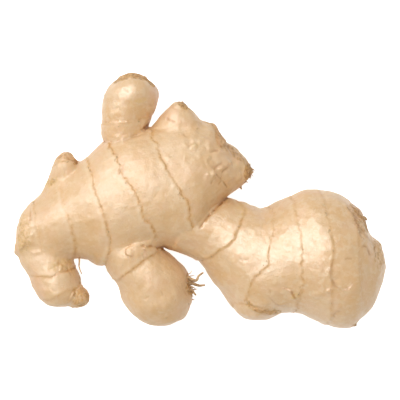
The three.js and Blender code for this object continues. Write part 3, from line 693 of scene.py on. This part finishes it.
# The scars of the upper side, and patches of cork below
def markScars(skin, places, upper):
    wobble = layeredNoise(places, "scarEdge")
    for x, y, long, wide, turn, *shares in scars:
        turn = math.radians(turn)
        east, north = places[:, 0] - x, places[:, 1] - y
        across = (east * math.cos(turn) + north * math.sin(turn)) / long
        upward = (north * math.cos(turn) - east * math.sin(turn)) / wide
        inside = upper * (1 - smoothStep(np.hypot(across, upward) + wobble, 0.55, 1.25))
        for name, share in zip(("cork", "yellow", "pink"), shares):
            skin[name] = np.maximum(skin[name], inside * share)
    below = np.maximum(layeredNoise(places, "underCork") - 0.35, 0) * (1 - upper)
    skin["cork"] = np.maximum(skin["cork"], np.clip(below * 1.2, 0, 0.7))


def roughenSkin(skin, places, upper):
    bumpy = np.full(len(places), skinRelief["leastBumpy"])
    for spot, radius, strength in bumpySpots:
        far = farFrom(places, spot) / radius
        bumpy = np.maximum(bumpy, upper * strength * np.exp(-far * far))
    folds = 1 - np.abs(softNoise(places, 4.2, 64))  # thin ridges where this noise changes sign
    folds = skinRelief["foldHeight"] * smoothStep(folds, 0.8, 1)
    skin["height"] += bumpy * (layeredNoise(places, "bumps") + folds)
    skin["height"] += skin["cork"] * layeredNoise(places, "corkLumps") * skinRelief["corkRoughness"]
    skin["height"] += layeredNoise(places, "skin")
    alongGrain = skin["grain"] * [1, 1, 0.22]
    skin["height"] += skinRelief["wrinkleHeight"] * softNoise(alongGrain, 1.3, 36)


# Where the skin is glossy, and where flakes and stubs of roots grow
def markGrowth(skin, places, normals, edges, owner):
    glossy = [list(rootForm).index(name) for name in ("broadEnd", "underBud", "upperFinger")]
    skin["gloss"] = relax(np.isin(owner, glossy)[:, None] * 1.0, edges, 40)
    clumps = layeredNoise(places, "clumps")
    onRings = skin["ringMark"] * np.exp(-((skin["ringSide"] + 0.1) / 0.45) ** 2)
    onRings *= smoothStep(clumps, 0.1, 0.7)
    onCork = 0.6 * skin["cork"] * smoothStep(clumps, 0.2, 0.9)
    skin["flakes"] = np.maximum(onRings, onCork) * (places[:, 2] > 0.9)  # none under the floor
    patches = smoothStep(softNoise(places, 11, 53), 0, 0.4)
    skin["stubs"] = smoothStep(-normals[:, 2], 0.2, 0.5) * patches * (places[:, 2] > 2)


def growSkin():
    lofts, samples, owners, ats, angles = buildLofts()
    mesh = fuseFingers(lofts)
    edges = readEdges(mesh)
    places = softenJoints(relax(readPlaces(mesh), edges, skinRelief["relaxRounds"]), edges)
    writePlaces(mesh, places)
    print("fused skin:", len(mesh.polygons), "faces")

    owner, at, angle, growth = findOnFingers(places, samples, owners, ats, angles)
    print("skin laid out on", len(rootForm), "fingers")
    count = len(places)
    skin = {name: np.zeros(count) for name in (
        "height", "body", "fade", "ringMark", "lineBrownAndCreaseShade", "cork", "yellow", "pink")}
    skin["ringSide"] = np.full(count, 9.0)  # far from any ring
    skin["grain"] = np.zeros((count, 3))
    for number, (name, form) in enumerate(rootForm.items()):
        mine = np.flatnonzero(owner == number)
        shapeFinger(skin, number, form, mine, at[mine], angle[mine])
        cutRings(skin, name, mine, places[mine], at[mine], angle[mine])
    skin["height"] += relax(skin["body"][:, None], edges, skinRelief["bodyRounds"])[:, 0]
    print("rings cut:", len(rings))

    normals = readNormals(mesh)
    upper = smoothStep(normals[:, 2], -0.15, 0.15)
    raiseLumps(skin, places, upper)
    drawLines(skin, places, upper)
    markScars(skin, places, upper)
    roughenSkin(skin, places, upper)
    fade = relax(skin["fade"][:, None], edges, 3)[:, 0]
    share = skinRelief["tipRelief"] + (1 - skinRelief["tipRelief"]) * fade
    places = places + normals * (skin["height"] * share)[:, None]
    places = relax(places, edges, 1, 0.25)
    places[:, 2] = np.maximum(places[:, 2], 0)
    writePlaces(mesh, places)
    print("relief raised:", len(skinLines), "lines,", len(scars), "scars,", len(lumps), "lumps")

    markGrowth(skin, places, normals, edges, owner)
    addAttribute(mesh, "grain", "FLOAT_VECTOR", skin["grain"])
    addAttribute(mesh, "growth", "FLOAT_VECTOR", growth)
    for name in ("ringSide", "ringMark", "lineBrownAndCreaseShade", "cork", "yellow", "pink", "gloss", "flakes", "stubs"):
        addAttribute(mesh, name, "FLOAT", skin[name])
    return thinOut(mesh)


def countTriangles(mesh):
    return sum(len(face.vertices) - 2 for face in mesh.polygons)


# Even stretches of skin get larger faces, so that the whole keeps to its number of triangles
def thinOut(mesh):
    dense = addObject("denseSkin", mesh)
    thin = dense.modifiers.new("thin", "DECIMATE")
    triangles = countTriangles(mesh)
    thin.ratio = min(1, skinRelief["mostTriangles"] / triangles)
    graph = bpy.context.evaluated_depsgraph_get()
    skin = bpy.data.meshes.new_from_object(
        dense.evaluated_get(graph), preserve_all_data_layers=True, depsgraph=graph)
    bpy.data.objects.remove(dense)
    skin.shade_smooth()
    print("skin thinned:", triangles, "to", countTriangles(skin), "triangles")
    return skin


def addAttribute(mesh, name, kind, values):
    attribute = mesh.attributes.new(name, kind, "POINT")
    field = "vector" if kind == "FLOAT_VECTOR" else "value"
    attribute.data.foreach_set(field, np.asarray(values, float).ravel())


# Adds a node with its settings, and sets or links its inputs by name or number
def addNode(tree, kind, inputs=None, **settings):
    node = tree.nodes.new(kind)
    for name, value in settings.items():
        setattr(node, name, value)
    for name, value in (inputs or {}).items():
        if isinstance(value, bpy.types.NodeSocket):
            tree.links.new(value, node.inputs[name])
        else:
            node.inputs[name].default_value = value
    return node


def readAttribute(tree, name, output="Fac"):
    return addNode(tree, "ShaderNodeAttribute", attribute_name=name).outputs[output]


def mathNode(tree, operation, first, second=0.0, clamp=False):
    node = addNode(tree, "ShaderNodeMath", {0: first, 1: second}, operation=operation, use_clamp=clamp)
    return node.outputs[0]


def times(tree, first, second):
    return mathNode(tree, "MULTIPLY", first, second)


def noiseNode(tree, vector, scale, detail=3.0, roughness=0.55):
    return addNode(tree, "ShaderNodeTexNoise", {
        "Vector": vector, "Scale": scale, "Detail": detail, "Roughness": roughness}).outputs["Fac"]


def mapRange(tree, value, fromLow, fromHigh, toLow=0.0, toHigh=1.0):
    return addNode(tree, "ShaderNodeMapRange", {
        "Value": value, "From Min": fromLow, "From Max": fromHigh, "To Min": toLow, "To Max": toHigh,
    }, interpolation_type="SMOOTHSTEP").outputs["Result"]


def mixColour(tree, share, first, second):
    node = addNode(tree, "ShaderNodeMix", data_type="RGBA")
    for index, value in ((0, share), (6, first), (7, second)):
        if isinstance(value, bpy.types.NodeSocket):
            tree.links.new(value, node.inputs[index])
        else:
            node.inputs[index].default_value = value if index == 0 else (*value, 1)
    return node.outputs[2]


# Lays another colour over the first one, as far as share times amount goes
def tint(tree, colour, share, amount, over):
    return mixColour(tree, times(tree, share, amount), colour, over)


# A new material, its tree, and the place on the piece in millimetres
def newMaterial(name):
    material = bpy.data.materials.new(name)
    material.use_nodes = True
    tree = material.node_tree
    tree.nodes.clear()
    place = addNode(tree, "ShaderNodeTexCoord").outputs["Object"]
    place = addNode(tree, "ShaderNodeMapping", {"Vector": place, "Scale": (1000, 1000, 1000)}).outputs[0]
    return material, tree, place


# Colours are linear, as Blender's sockets take them
skinFinish = {
    "pale": (0.77, 0.53, 0.30),
    "tan": (0.735, 0.46, 0.215),
    "blush": (0.79, 0.50, 0.30),
    "ringBrown": (0.55, 0.26, 0.06),
    # pale papery skin, and also the painted highlight on the lip before each ring
    "paleSkinAndLipHighlight": (0.85, 0.65, 0.42),
    # a ring's own tan, which also serves as painted shade where the skin drops behind the ring's lip
    "ringTanAndShade": (0.70, 0.38, 0.12),
    # brown of lines and cracks, which in the creases where fingers meet is partly painted shade
    "crackBrownAndShade": (0.44, 0.19, 0.045),
    "corkBrown": (0.33, 0.14, 0.03),
    "corkTan": (0.64, 0.36, 0.12),
    "yellow": (0.74, 0.47, 0.14),
    "pink": (0.78, 0.46, 0.28),
    "speck": (0.40, 0.24, 0.11),
    "roughness": 0.42,
    "unevenGloss": 0.12,
    "shine": 0.09,  # how much smoother the glossy fingers are
    "corkMatt": 0.5,
    "bump": 0.7,
    "bumpDepth": 0.16 * mm,
    "glow": 0.15,  # how much light passes under the skin
    "glowDepth": 2 * mm,
}

# Layers of colour over the skin: the noise's scale, detail and roughness, the values between which the layer
# comes in, its greatest share and its colour
skinLayers = {
    "streaks": (0.8, 5, 0.7, 0.42, 0.72, 0.2, "corkTan"),
    "mottle": (0.5, 5, 0.7, 0.45, 0.75, 0.22, "corkTan"),
    "bloom": (0.7, 4, 0.6, 0.52, 0.72, 0.25, "paleSkinAndLipHighlight"),
    "blush": (0.16, 3, 0.55, 0.45, 0.7, 0.35, "blush"),
    "peel": (0.21, 7, 0.62, 0.535, 0.56, 0.13, "paleSkinAndLipHighlight"),  # thin layers of outer skin
}


# The corky share of the skin, and the noise that breaks it up
def corkNodes(tree, place):
    noise = noiseNode(tree, place, 0.9, 4, 0.65)
    shift = times(tree, mathNode(tree, "SUBTRACT", noise, 0.5), 1.6)
    mark = readAttribute(tree, "cork")
    cork = mapRange(tree, mathNode(tree, "ADD", mark, shift), 0.25, 0.95)
    return times(tree, cork, mapRange(tree, mark, 0.0, 0.2)), noise


# The dark edge of a ring, a tan band round it that is partly painted shade, and a painted highlight on its lip
def ringNodes(tree, place):
    waver = times(tree, mathNode(tree, "SUBTRACT", noiseNode(tree, place, 1.2, 3), 0.5), 0.8)
    side = mathNode(tree, "ADD", readAttribute(tree, "ringSide"), waver)
    mark = readAttribute(tree, "ringMark")
    broken = times(tree, mark, mapRange(tree, noiseNode(tree, place, 0.45, 3), 0.38, 0.6, 0.3, 1))
    fromLip = mathNode(tree, "ABSOLUTE", mathNode(tree, "SUBTRACT", side, 0.15))
    fromBand = mathNode(tree, "ABSOLUTE", mathNode(tree, "ADD", side, 1.2))
    spots = mapRange(tree, noiseNode(tree, place, 1.1, 3), 0.42, 0.6, 0.15, 1.2)
    edge = times(tree, times(tree, mapRange(tree, fromLip, 0.05, 0.55, 1, 0), broken), spots)
    # partly painted shade: a tan band on both sides of the ring's lip
    shade = times(tree, mapRange(tree, fromLip, 0.1, 1.3, 1, 0), broken)
    return edge, shade, times(tree, mapRange(tree, fromBand, 0.1, 1.1, 0.3, 0), mark)


def speckNodes(tree, place):
    spots = addNode(tree, "ShaderNodeTexVoronoi", {"Vector": place, "Scale": 0.42, "Randomness": 1.0})
    size = mathNode(tree, "SUBTRACT", times(tree, noiseNode(tree, place, 0.3, 2), 0.32), 0.1)
    return mathNode(tree, "LESS_THAN", spots.outputs["Distance"], size)


def paintSkin():
    look = skinFinish
    material, tree, place = newMaterial("gingerSkin")
    grain = readAttribute(tree, "grain", "Vector")
    alongGrain = addNode(tree, "ShaderNodeMapping", {"Vector": grain, "Scale": (1, 1, 0.16)}).outputs[0]
    gloss = readAttribute(tree, "gloss")
    cork, corkNoise = corkNodes(tree, place)
    edge, shade, paintedLipHighlight = ringNodes(tree, place)

    patches = mapRange(tree, noiseNode(tree, place, 0.12, 4), 0.25, 0.75)
    colour = mixColour(tree, patches, look["pale"], look["tan"])
    layers = {}
    for name, (scale, detail, rough, low, high, amount, over) in skinLayers.items():
        noise = noiseNode(tree, alongGrain if name == "streaks" else place, scale, detail, rough)
        layers[name] = mapRange(tree, noise, low, high)
        colour = tint(tree, colour, layers[name], amount, look[over])
    # partly painted highlight: pale flecks of peeled skin, strongest on the glossy fingers where they shine
    paleFlecksAndHighlight = mapRange(tree, noiseNode(tree, place, 0.42, 7, 0.66), 0.525, 0.55)
    paleFlecksAndHighlight = times(tree, paleFlecksAndHighlight, mapRange(tree, gloss, 0, 1, 0.06, 0.24))  # pale flecks, partly a painted highlight, most on the glossy fingers
    colour = mixColour(tree, paleFlecksAndHighlight, colour, look["paleSkinAndLipHighlight"])
    colour = tint(tree, colour, readAttribute(tree, "pink"), 0.5, look["pink"])
    yellowNoise = mapRange(tree, noiseNode(tree, place, 0.9), 0.3, 0.6)
    yellow = times(tree, readAttribute(tree, "yellow"), yellowNoise)
    colour = tint(tree, colour, yellow, 0.7, look["yellow"])
    corkPatches = mapRange(tree, noiseNode(tree, place, 1.3, 4), 0.42, 0.62)
    corkTone = mixColour(tree, corkPatches, look["corkTan"], look["corkBrown"])
    colour = tint(tree, colour, cork, 0.85, corkTone)
    # painted highlight: the raised lip before each ring is made paler, as if lit
    colour = mixColour(tree, paintedLipHighlight, colour, look["paleSkinAndLipHighlight"])
    # painted shade: the skin round each ring's step is darkened to tan, partly the ring's own colour
    colour = tint(tree, colour, shade, 0.62, look["ringTanAndShade"])
    colour = tint(tree, colour, edge, 0.55, look["ringBrown"])
    # partly painted shade: lines and the creases where fingers meet are darkened brown
    colour = tint(tree, colour, readAttribute(tree, "lineBrownAndCreaseShade"), 0.9, look["crackBrownAndShade"])
    colour = tint(tree, colour, speckNodes(tree, place), 0.3, look["speck"])

    matt = mathNode(tree, "SUBTRACT", look["roughness"], times(tree, gloss, look["shine"]))
    matt = mathNode(tree, "ADD", times(tree, cork, look["corkMatt"]), matt)
    unevenGloss = times(tree, noiseNode(tree, place, 0.5), look["unevenGloss"])
    roughness = mathNode(tree, "ADD", unevenGloss, matt, clamp=True)

    pores = noiseNode(tree, place, 1.6, 4, 0.6)
    fibres = noiseNode(tree, alongGrain, 1.8, 4, 0.6)
    surface = mathNode(tree, "ADD", times(tree, fibres, 0.6), pores)
    surface = mathNode(tree, "ADD", surface, times(tree, cork, corkNoise))
    surface = mathNode(tree, "SUBTRACT", surface, times(tree, edge, 0.8))
    surface = mathNode(tree, "ADD", surface, times(tree, layers["peel"], 0.25))
    bump = addNode(tree, "ShaderNodeBump", {
        "Height": surface, "Strength": look["bump"], "Distance": look["bumpDepth"]})
    skin = addNode(tree, "ShaderNodeBsdfPrincipled", {
        "Base Color": colour, "Roughness": roughness, "Normal": bump.outputs[0],
        "Subsurface Weight": look["glow"], "Subsurface Radius": (1, 0.55, 0.3),
        "Subsurface Scale": look["glowDepth"], "Specular IOR Level": 0.6, "IOR": 1.5,
    })
    addNode(tree, "ShaderNodeOutputMaterial", {"Surface": skin.outputs[0]})
    return material


studio = {
    "cameraHeight": 0.9,
    "frameWidth": 0.14,  # what the image spans at the height of the outline
    "outlineHeight": 0.0165,
    "lights": {  # place, size and power
        "keyLight": ((-0.64, 0.28, 0.64), 0.8, 2.6),
        "topLight": ((-0.23, 0.27, 0.85), 0.4, 2.3),
        "sheenLight": ((-0.42, 0.3, 0.75), 0.9, 22),  # lights only the gloss of the skin
        "fillLight": ((0.5, -0.2, 0.9), 1.0, 0.5),
    },
    "world": 0.555,
    "floorColour": (0.93, 0.93, 0.93),
    "floorGlow": 0.8,
}


def aimAt(thing, target):
    direction = Vector(target) - thing.location
    thing.rotation_euler = direction.to_track_quat("-Z", "Y").to_euler()


def addLight(name, place, size, power):
    data = bpy.data.lights.new(name, "AREA")
    data.size = size
    data.energy = power
    light = addObject(name, data)
    light.location = place
    aimAt(light, (0, 0, 0.015))
    return light


def setCamera():
    data = bpy.data.cameras.new("camera")
    data.sensor_width = 36
    data.lens = data.sensor_width * (studio["cameraHeight"] - studio["outlineHeight"]) / studio["frameWidth"]
    data.clip_start, data.clip_end = 0.01, 20
    camera = addObject("camera", data)
    camera.location = (0, 0, studio["cameraHeight"])
    scene.camera = camera


def layFloor():
    mesh = bpy.data.meshes.new("floor")
    mesh.from_pydata([(-3, -3, 0), (3, -3, 0), (3, 3, 0), (-3, 3, 0)], [], [(0, 1, 2, 3)])
    floor = addObject("floor", mesh)
    paint = bpy.data.materials.new("paleFloor")
    paint.use_nodes = True
    shader = paint.node_tree.nodes["Principled BSDF"]
    shader.inputs["Base Color"].default_value = (*studio["floorColour"], 1)
    shader.inputs["Roughness"].default_value = 0.9
    shader.inputs["Emission Color"].default_value = (1, 1, 1, 1)
    shader.inputs["Emission Strength"].default_value = studio["floorGlow"]
    mesh.materials.append(paint)
    floor.visible_diffuse = False  # the floor's light doesn't brighten the root's lower edges


def setStudio():
    setCamera()
    for name, (place, size, power) in studio["lights"].items():
        light = addLight(name, place, size, power)
        light.visible_diffuse = name != "sheenLight"
    world = bpy.data.worlds.new("studio")
    world.use_nodes = True
    background = world.node_tree.nodes["Background"]
    background.inputs["Color"].default_value = (1, 1, 1, 1)
    background.inputs["Strength"].default_value = studio["world"]
    scene.world = world
    scene.view_settings.view_transform = "Standard"
    layFloor()


def newTree(name, numbers):
    tree = bpy.data.node_groups.new(name, "GeometryNodeTree")
    tree.interface.new_socket("Geometry", in_out="INPUT", socket_type="NodeSocketGeometry")
    for title, value in numbers.items():
        kind = "NodeSocketInt" if isinstance(value, int) else "NodeSocketFloat"
        socket = tree.interface.new_socket(title, in_out="INPUT", socket_type=kind)
        socket.default_value = value
    tree.interface.new_socket("Geometry", in_out="OUTPUT", socket_type="NodeSocketGeometry")
    return tree, tree.nodes.new("NodeGroupInput").outputs


def namedValue(tree, name, kind="FLOAT"):
    return addNode(tree, "GeometryNodeInputNamedAttribute", {"Name": name}, data_type=kind).outputs[0]


# Shifts each point by a noise that reaches as far as given
def waverNode(tree, geometry, scale, detail, reach):
    place = addNode(tree, "GeometryNodeInputPosition").outputs[0]
    noise = addNode(tree, "ShaderNodeTexNoise", {"Vector": place, "Scale": scale, "Detail": detail})
    middle = addNode(tree, "ShaderNodeVectorMath", {
        0: noise.outputs["Color"], 1: (0.5, 0.5, 0.5)}, operation="SUBTRACT").outputs[0]
    shift = addNode(tree, "ShaderNodeVectorMath", {0: middle, "Scale": reach}, operation="SCALE").outputs[0]
    return addNode(tree, "GeometryNodeSetPosition", {"Geometry": geometry, "Offset": shift}).outputs[0]


def endTree(tree, geometry, material):
    real = addNode(tree, "GeometryNodeRealizeInstances", {"Geometry": geometry}).outputs[0]
    painted = addNode(tree, "GeometryNodeSetMaterial", {"Geometry": real, "Material": material}).outputs[0]
    addNode(tree, "NodeGroupOutput", {0: painted})


# Runs a tree on a source object and keeps the result as a plain mesh of its own
def growPiece(name, source, tree, numbers, material):
    carrier = addObject(name + "Source", source)
    modifier = carrier.modifiers.new(name, "NODES")
    modifier.node_group = tree
    for item in tree.interface.items_tree:
        if item.in_out == "INPUT" and item.name in numbers:
            modifier[item.identifier] = numbers[item.name]
    graph = bpy.context.evaluated_depsgraph_get()
    mesh = bpy.data.meshes.new_from_object(carrier.evaluated_get(graph))
    bpy.data.objects.remove(carrier)
    mesh.name = name
    mesh.materials.clear()
    mesh.materials.append(material)
    mesh.shade_smooth()
    piece = addObject(name, mesh)
    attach(piece, "root")
    print(name + ":", len(mesh.polygons), "faces")


flakeSizes = {
    "Density": 9.0e5,  # flakes to the square metre where they are thickest
    "Length": 0.55 * mm,
    "Width": 0.26 * mm,
    "Thickness": 0.09 * mm,
    "Seed": 3,
}


# Papery remains of the leaves: small chips along the rings and on the corky scars
def flakeTree(material):
    tree, given = newTree("leafFlakes", flakeSizes)
    density = times(tree, namedValue(tree, "flakes"), given["Density"])
    spots = addNode(tree, "GeometryNodeDistributePointsOnFaces", {
        "Mesh": given["Geometry"], "Density": density, "Seed": given["Seed"]})
    growth = namedValue(tree, "growth", "FLOAT_VECTOR")
    facing = addNode(tree, "FunctionNodeAxesToRotation", {
        "Primary Axis": spots.outputs["Normal"], "Secondary Axis": growth}, primary_axis="Z", secondary_axis="X")
    chip = addNode(tree, "GeometryNodeMeshIcoSphere", {"Radius": 1.0, "Subdivisions": 1}).outputs[0]
    shape = addNode(tree, "ShaderNodeCombineXYZ", {
        "X": given["Width"], "Y": given["Length"], "Z": given["Thickness"]}).outputs[0]
    placed = addNode(tree, "GeometryNodeInstanceOnPoints", {
        "Points": spots.outputs["Points"], "Instance": chip, "Rotation": facing.outputs[0], "Scale": shape})
    tilt = addNode(tree, "FunctionNodeRandomValue", {
        0: (-0.25, -0.5, -0.7), 1: (0.25, 0.15, 0.7),  # in radians
        "Seed": given["Seed"]}, data_type="FLOAT_VECTOR")
    turned = addNode(tree, "GeometryNodeRotateInstances", {
        "Instances": placed.outputs[0], "Rotation": tilt.outputs[0]}).outputs[0]
    growing = addNode(tree, "FunctionNodeRandomValue", {
        0: (0.5, 0.4, 0.6), 1: (1.3, 1.7, 1.4), "Seed": given["Seed"]}, data_type="FLOAT_VECTOR")
    sized = addNode(tree, "GeometryNodeScaleInstances", {
        "Instances": turned, "Scale": growing.outputs[0]}).outputs[0]
    endTree(tree, sized, material)
    return tree


stubSizes = {
    "Density": 9.0e3,
    "Spacing": 4.5 * mm,
    "Foot": 0.85 * mm,
    "Top": 0.45 * mm,
    "Height": 1.7 * mm,
    "Seed": 11,
}


# Stubs of broken roots on the sides and the underside
def stubTree(material):
    tree, given = newTree("rootStubs", stubSizes)
    spots = addNode(tree, "GeometryNodeDistributePointsOnFaces", {
        "Mesh": given["Geometry"], "Distance Min": given["Spacing"], "Density Max": given["Density"],
        "Density Factor": namedValue(tree, "stubs"), "Seed": given["Seed"]}, distribute_method="POISSON")
    cone = addNode(tree, "GeometryNodeMeshCone", {
        "Vertices": 9, "Side Segments": 3, "Radius Top": given["Top"], "Radius Bottom": given["Foot"],
        "Depth": given["Height"]}).outputs["Mesh"]
    sunk = addNode(tree, "GeometryNodeTransform", {
        "Geometry": cone, "Translation": (0, 0, -0.7 * mm)}).outputs[0]
    size = addNode(tree, "FunctionNodeRandomValue", {
        2: 0.6, 3: 1.25, "Seed": given["Seed"]}, data_type="FLOAT")
    placed = addNode(tree, "GeometryNodeInstanceOnPoints", {
        "Points": spots.outputs["Points"], "Instance": sunk, "Rotation": spots.outputs["Rotation"],
        "Scale": size.outputs[1]}).outputs[0]
    real = addNode(tree, "GeometryNodeRealizeInstances", {"Geometry": placed}).outputs[0]
    ragged = waverNode(tree, real, 1400.0, 1.0, 0.5 * mm)
    endTree(tree, ragged, material)
    return tree


rootletSizes = {
    "Step": 0.3 * mm,
    "Thickness": 1.0,
    "Waver": 0.35 * mm,
}

# Thin roots left on the rhizome: radius and points along each in millimetres, thick end first
rootletPaths = [
    (0.75, [(-5.4, -26.6, 15), (-1.6, -28.2, 15.4), (-0.4, -26.6, 15.6), (1.2, -25.4, 15.2)]),
    (0.8, [(-5, -28.2, 14.4), (-1.6, -29.6, 14.2), (0, -30.1, 13.8), (1.8, -29.9, 13.4)]),
    (0.7, [(-4.8, -30, 15), (-2.6, -32, 15.2), (-1.4, -33.4, 14.6)]),
    (0.42, [(-42.3, -18.2, 14.6), (-42.2, -21.2, 16), (-42.3, -23.2, 16.6), (-41.4, -25.9, 17.2)]),
    (1.0, [(-8, 32.8, 18.8), (-6.8, 33.7, 19), (-5.8, 34, 18.8)]),
    (0.7, [(12.6, 6.4, 14), (14, 4.8, 14.2), (14.6, 3.8, 14)]),
    (0.8, [(52, -42.4, 17), (53.6, -43.8, 17.2), (54.8, -43.6, 17.2)]),
    (0.7, [(56.4, -6, 19), (57.6, -6.2, 19.4), (58.2, -7, 19.2)]),
]

# Frayed places, as (centre, direction that the fibres point in, spread, length, radius, how many)
frayedSpots = [
    ((-4.2, -29.4, 15), (1, -0.2, 0.3), 2.4, 2.2, 0.24, 14),
    ((-3.4, -33, 14), (1, -0.6, 0), 1.6, 1.2, 0.24, 7),
    ((16.9, 9.6, 15.4), (1, -0.3, 0.3), 2.4, 1.2, 0.3, 22),
    ((-5.4, 33.4, 19), (0.4, 1, 0.3), 1.8, 0.7, 0.3, 12),
    ((13.2, 5.2, 15), (0.8, -0.6, 0), 1, 0.8, 0.3, 3),
    ((-41.6, -27.6, 13), (1, 0, 0.3), 2.4, 0.5, 0.34, 10),
    ((-38.6, -33.4, 13.6), (1, 0.2, 0.3), 2.2, 0.4, 0.36, 8),
    ((57.6, -7, 18), (1, 0.5, 0.3), 2.6, 0.5, 0.34, 8),
    ((-34, -23.4, 14), (0.2, -1, 0.3), 0.8, 0.5, 0.3, 4),
]


def rootletCurves(skin):
    draw = np.random.default_rng(5)
    curves = bpy.data.curves.new("rootlets", "CURVE")
    curves.dimensions = "3D"
    paths = [(radius, [np.array(point, float) for point in path]) for radius, path in rootletPaths]
    for place, aim, spread, length, radius, count in frayedSpots:
        toward = np.array(aim, float)
        toward /= np.linalg.norm(toward)
        for _ in range(count):
            point = np.array(place) + draw.normal(0, 0.5, 3) * spread
            point = np.array(skin.closest_point_on_mesh(Vector(point * mm))[1]) / mm - 0.4 * toward
            heading = toward + draw.normal(0, 0.45, 3)
            fibre = [point]
            for _ in range(4):
                heading = heading + draw.normal(0, 0.3, 3)
                step = heading / np.linalg.norm(heading) * length * draw.uniform(0.2, 0.42)
                fibre.append(fibre[-1] + step)
            paths.append((radius * draw.uniform(0.6, 1.3), fibre))
    for radius, path in paths:
        spline = curves.splines.new("POLY")
        spline.points.add(len(path) - 1)
        for target, point in zip(spline.points, path):
            target.co = (*(point * mm), 1)
            target.radius = radius * mm
    return curves


# Tubes along the paths that taper to their ends and waver on the way
def rootletTree(material):
    tree, given = newTree("rootlets", rootletSizes)
    smooth = addNode(tree, "GeometryNodeCurveSplineType", {
        "Curve": given["Geometry"]}, spline_type="CATMULL_ROM").outputs[0]
    even = addNode(tree, "GeometryNodeResampleCurve", {
        "Curve": smooth, "Length": given["Step"]}, mode="LENGTH").outputs[0]
    along = addNode(tree, "GeometryNodeSplineParameter").outputs["Factor"]
    taper = mathNode(tree, "SUBTRACT", 1.0, times(tree, along, 0.6))
    radius = times(tree, addNode(tree, "GeometryNodeInputRadius").outputs[0], taper)
    waver = waverNode(tree, even, 500.0, 2.0, given["Waver"])
    circle = addNode(tree, "GeometryNodeCurvePrimitiveCircle", {"Resolution": 7, "Radius": 1.0}).outputs[0]
    radius = times(tree, radius, given["Thickness"])
    tubes = addNode(tree, "GeometryNodeCurveToMesh", {
        "Curve": waver, "Profile Curve": circle, "Scale": radius, "Fill Caps": True}).outputs[0]
    endTree(tree, tubes, material)
    return tree


dryFinish = {
    "fibre": {"light": (0.68, 0.46, 0.23), "dark": (0.36, 0.20, 0.08), "grain": 0.9},
    "flake": {"light": (0.76, 0.54, 0.30), "dark": (0.50, 0.31, 0.14), "grain": 0.5},
}


# The dry brown finish of dead roots and leaf remains
def paintDry(name):
    look = dryFinish[name]
    material, tree, place = newMaterial(name + "Dry")
    tone = mapRange(tree, noiseNode(tree, place, look["grain"], 4), 0.35, 0.65)
    colour = mixColour(tree, tone, look["dark"], look["light"])
    bump = addNode(tree, "ShaderNodeBump", {
        "Height": noiseNode(tree, place, 3.0, 4), "Strength": 0.5, "Distance": 0.0001})
    shader = addNode(tree, "ShaderNodeBsdfPrincipled", {
        "Base Color": colour, "Roughness": 0.75, "Normal": bump.outputs[0]})
    addNode(tree, "ShaderNodeOutputMaterial", {"Surface": shader.outputs[0]})
    return material


setStudio()
print("studio set")
skinMaterial = paintSkin()
skinMesh = growSkin()
skinMesh.name = "rootSkin"
skinMesh.materials.clear()
skinMesh.materials.append(skinMaterial)
rootSkin = addObject("rootSkin", skinMesh)
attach(rootSkin, "root")
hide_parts("ginger_root")
print("skin done:", len(skinMesh.polygons), "faces")

fibreDry = paintDry("fibre")
flakeDry = paintDry("flake")
growPiece("leafFlakes", skinMesh, flakeTree(flakeDry), flakeSizes, flakeDry)
growPiece("rootStubs", skinMesh, stubTree(fibreDry), stubSizes, fibreDry)
growPiece("rootlets", rootletCurves(rootSkin), rootletTree(fibreDry), rootletSizes, fibreDry)
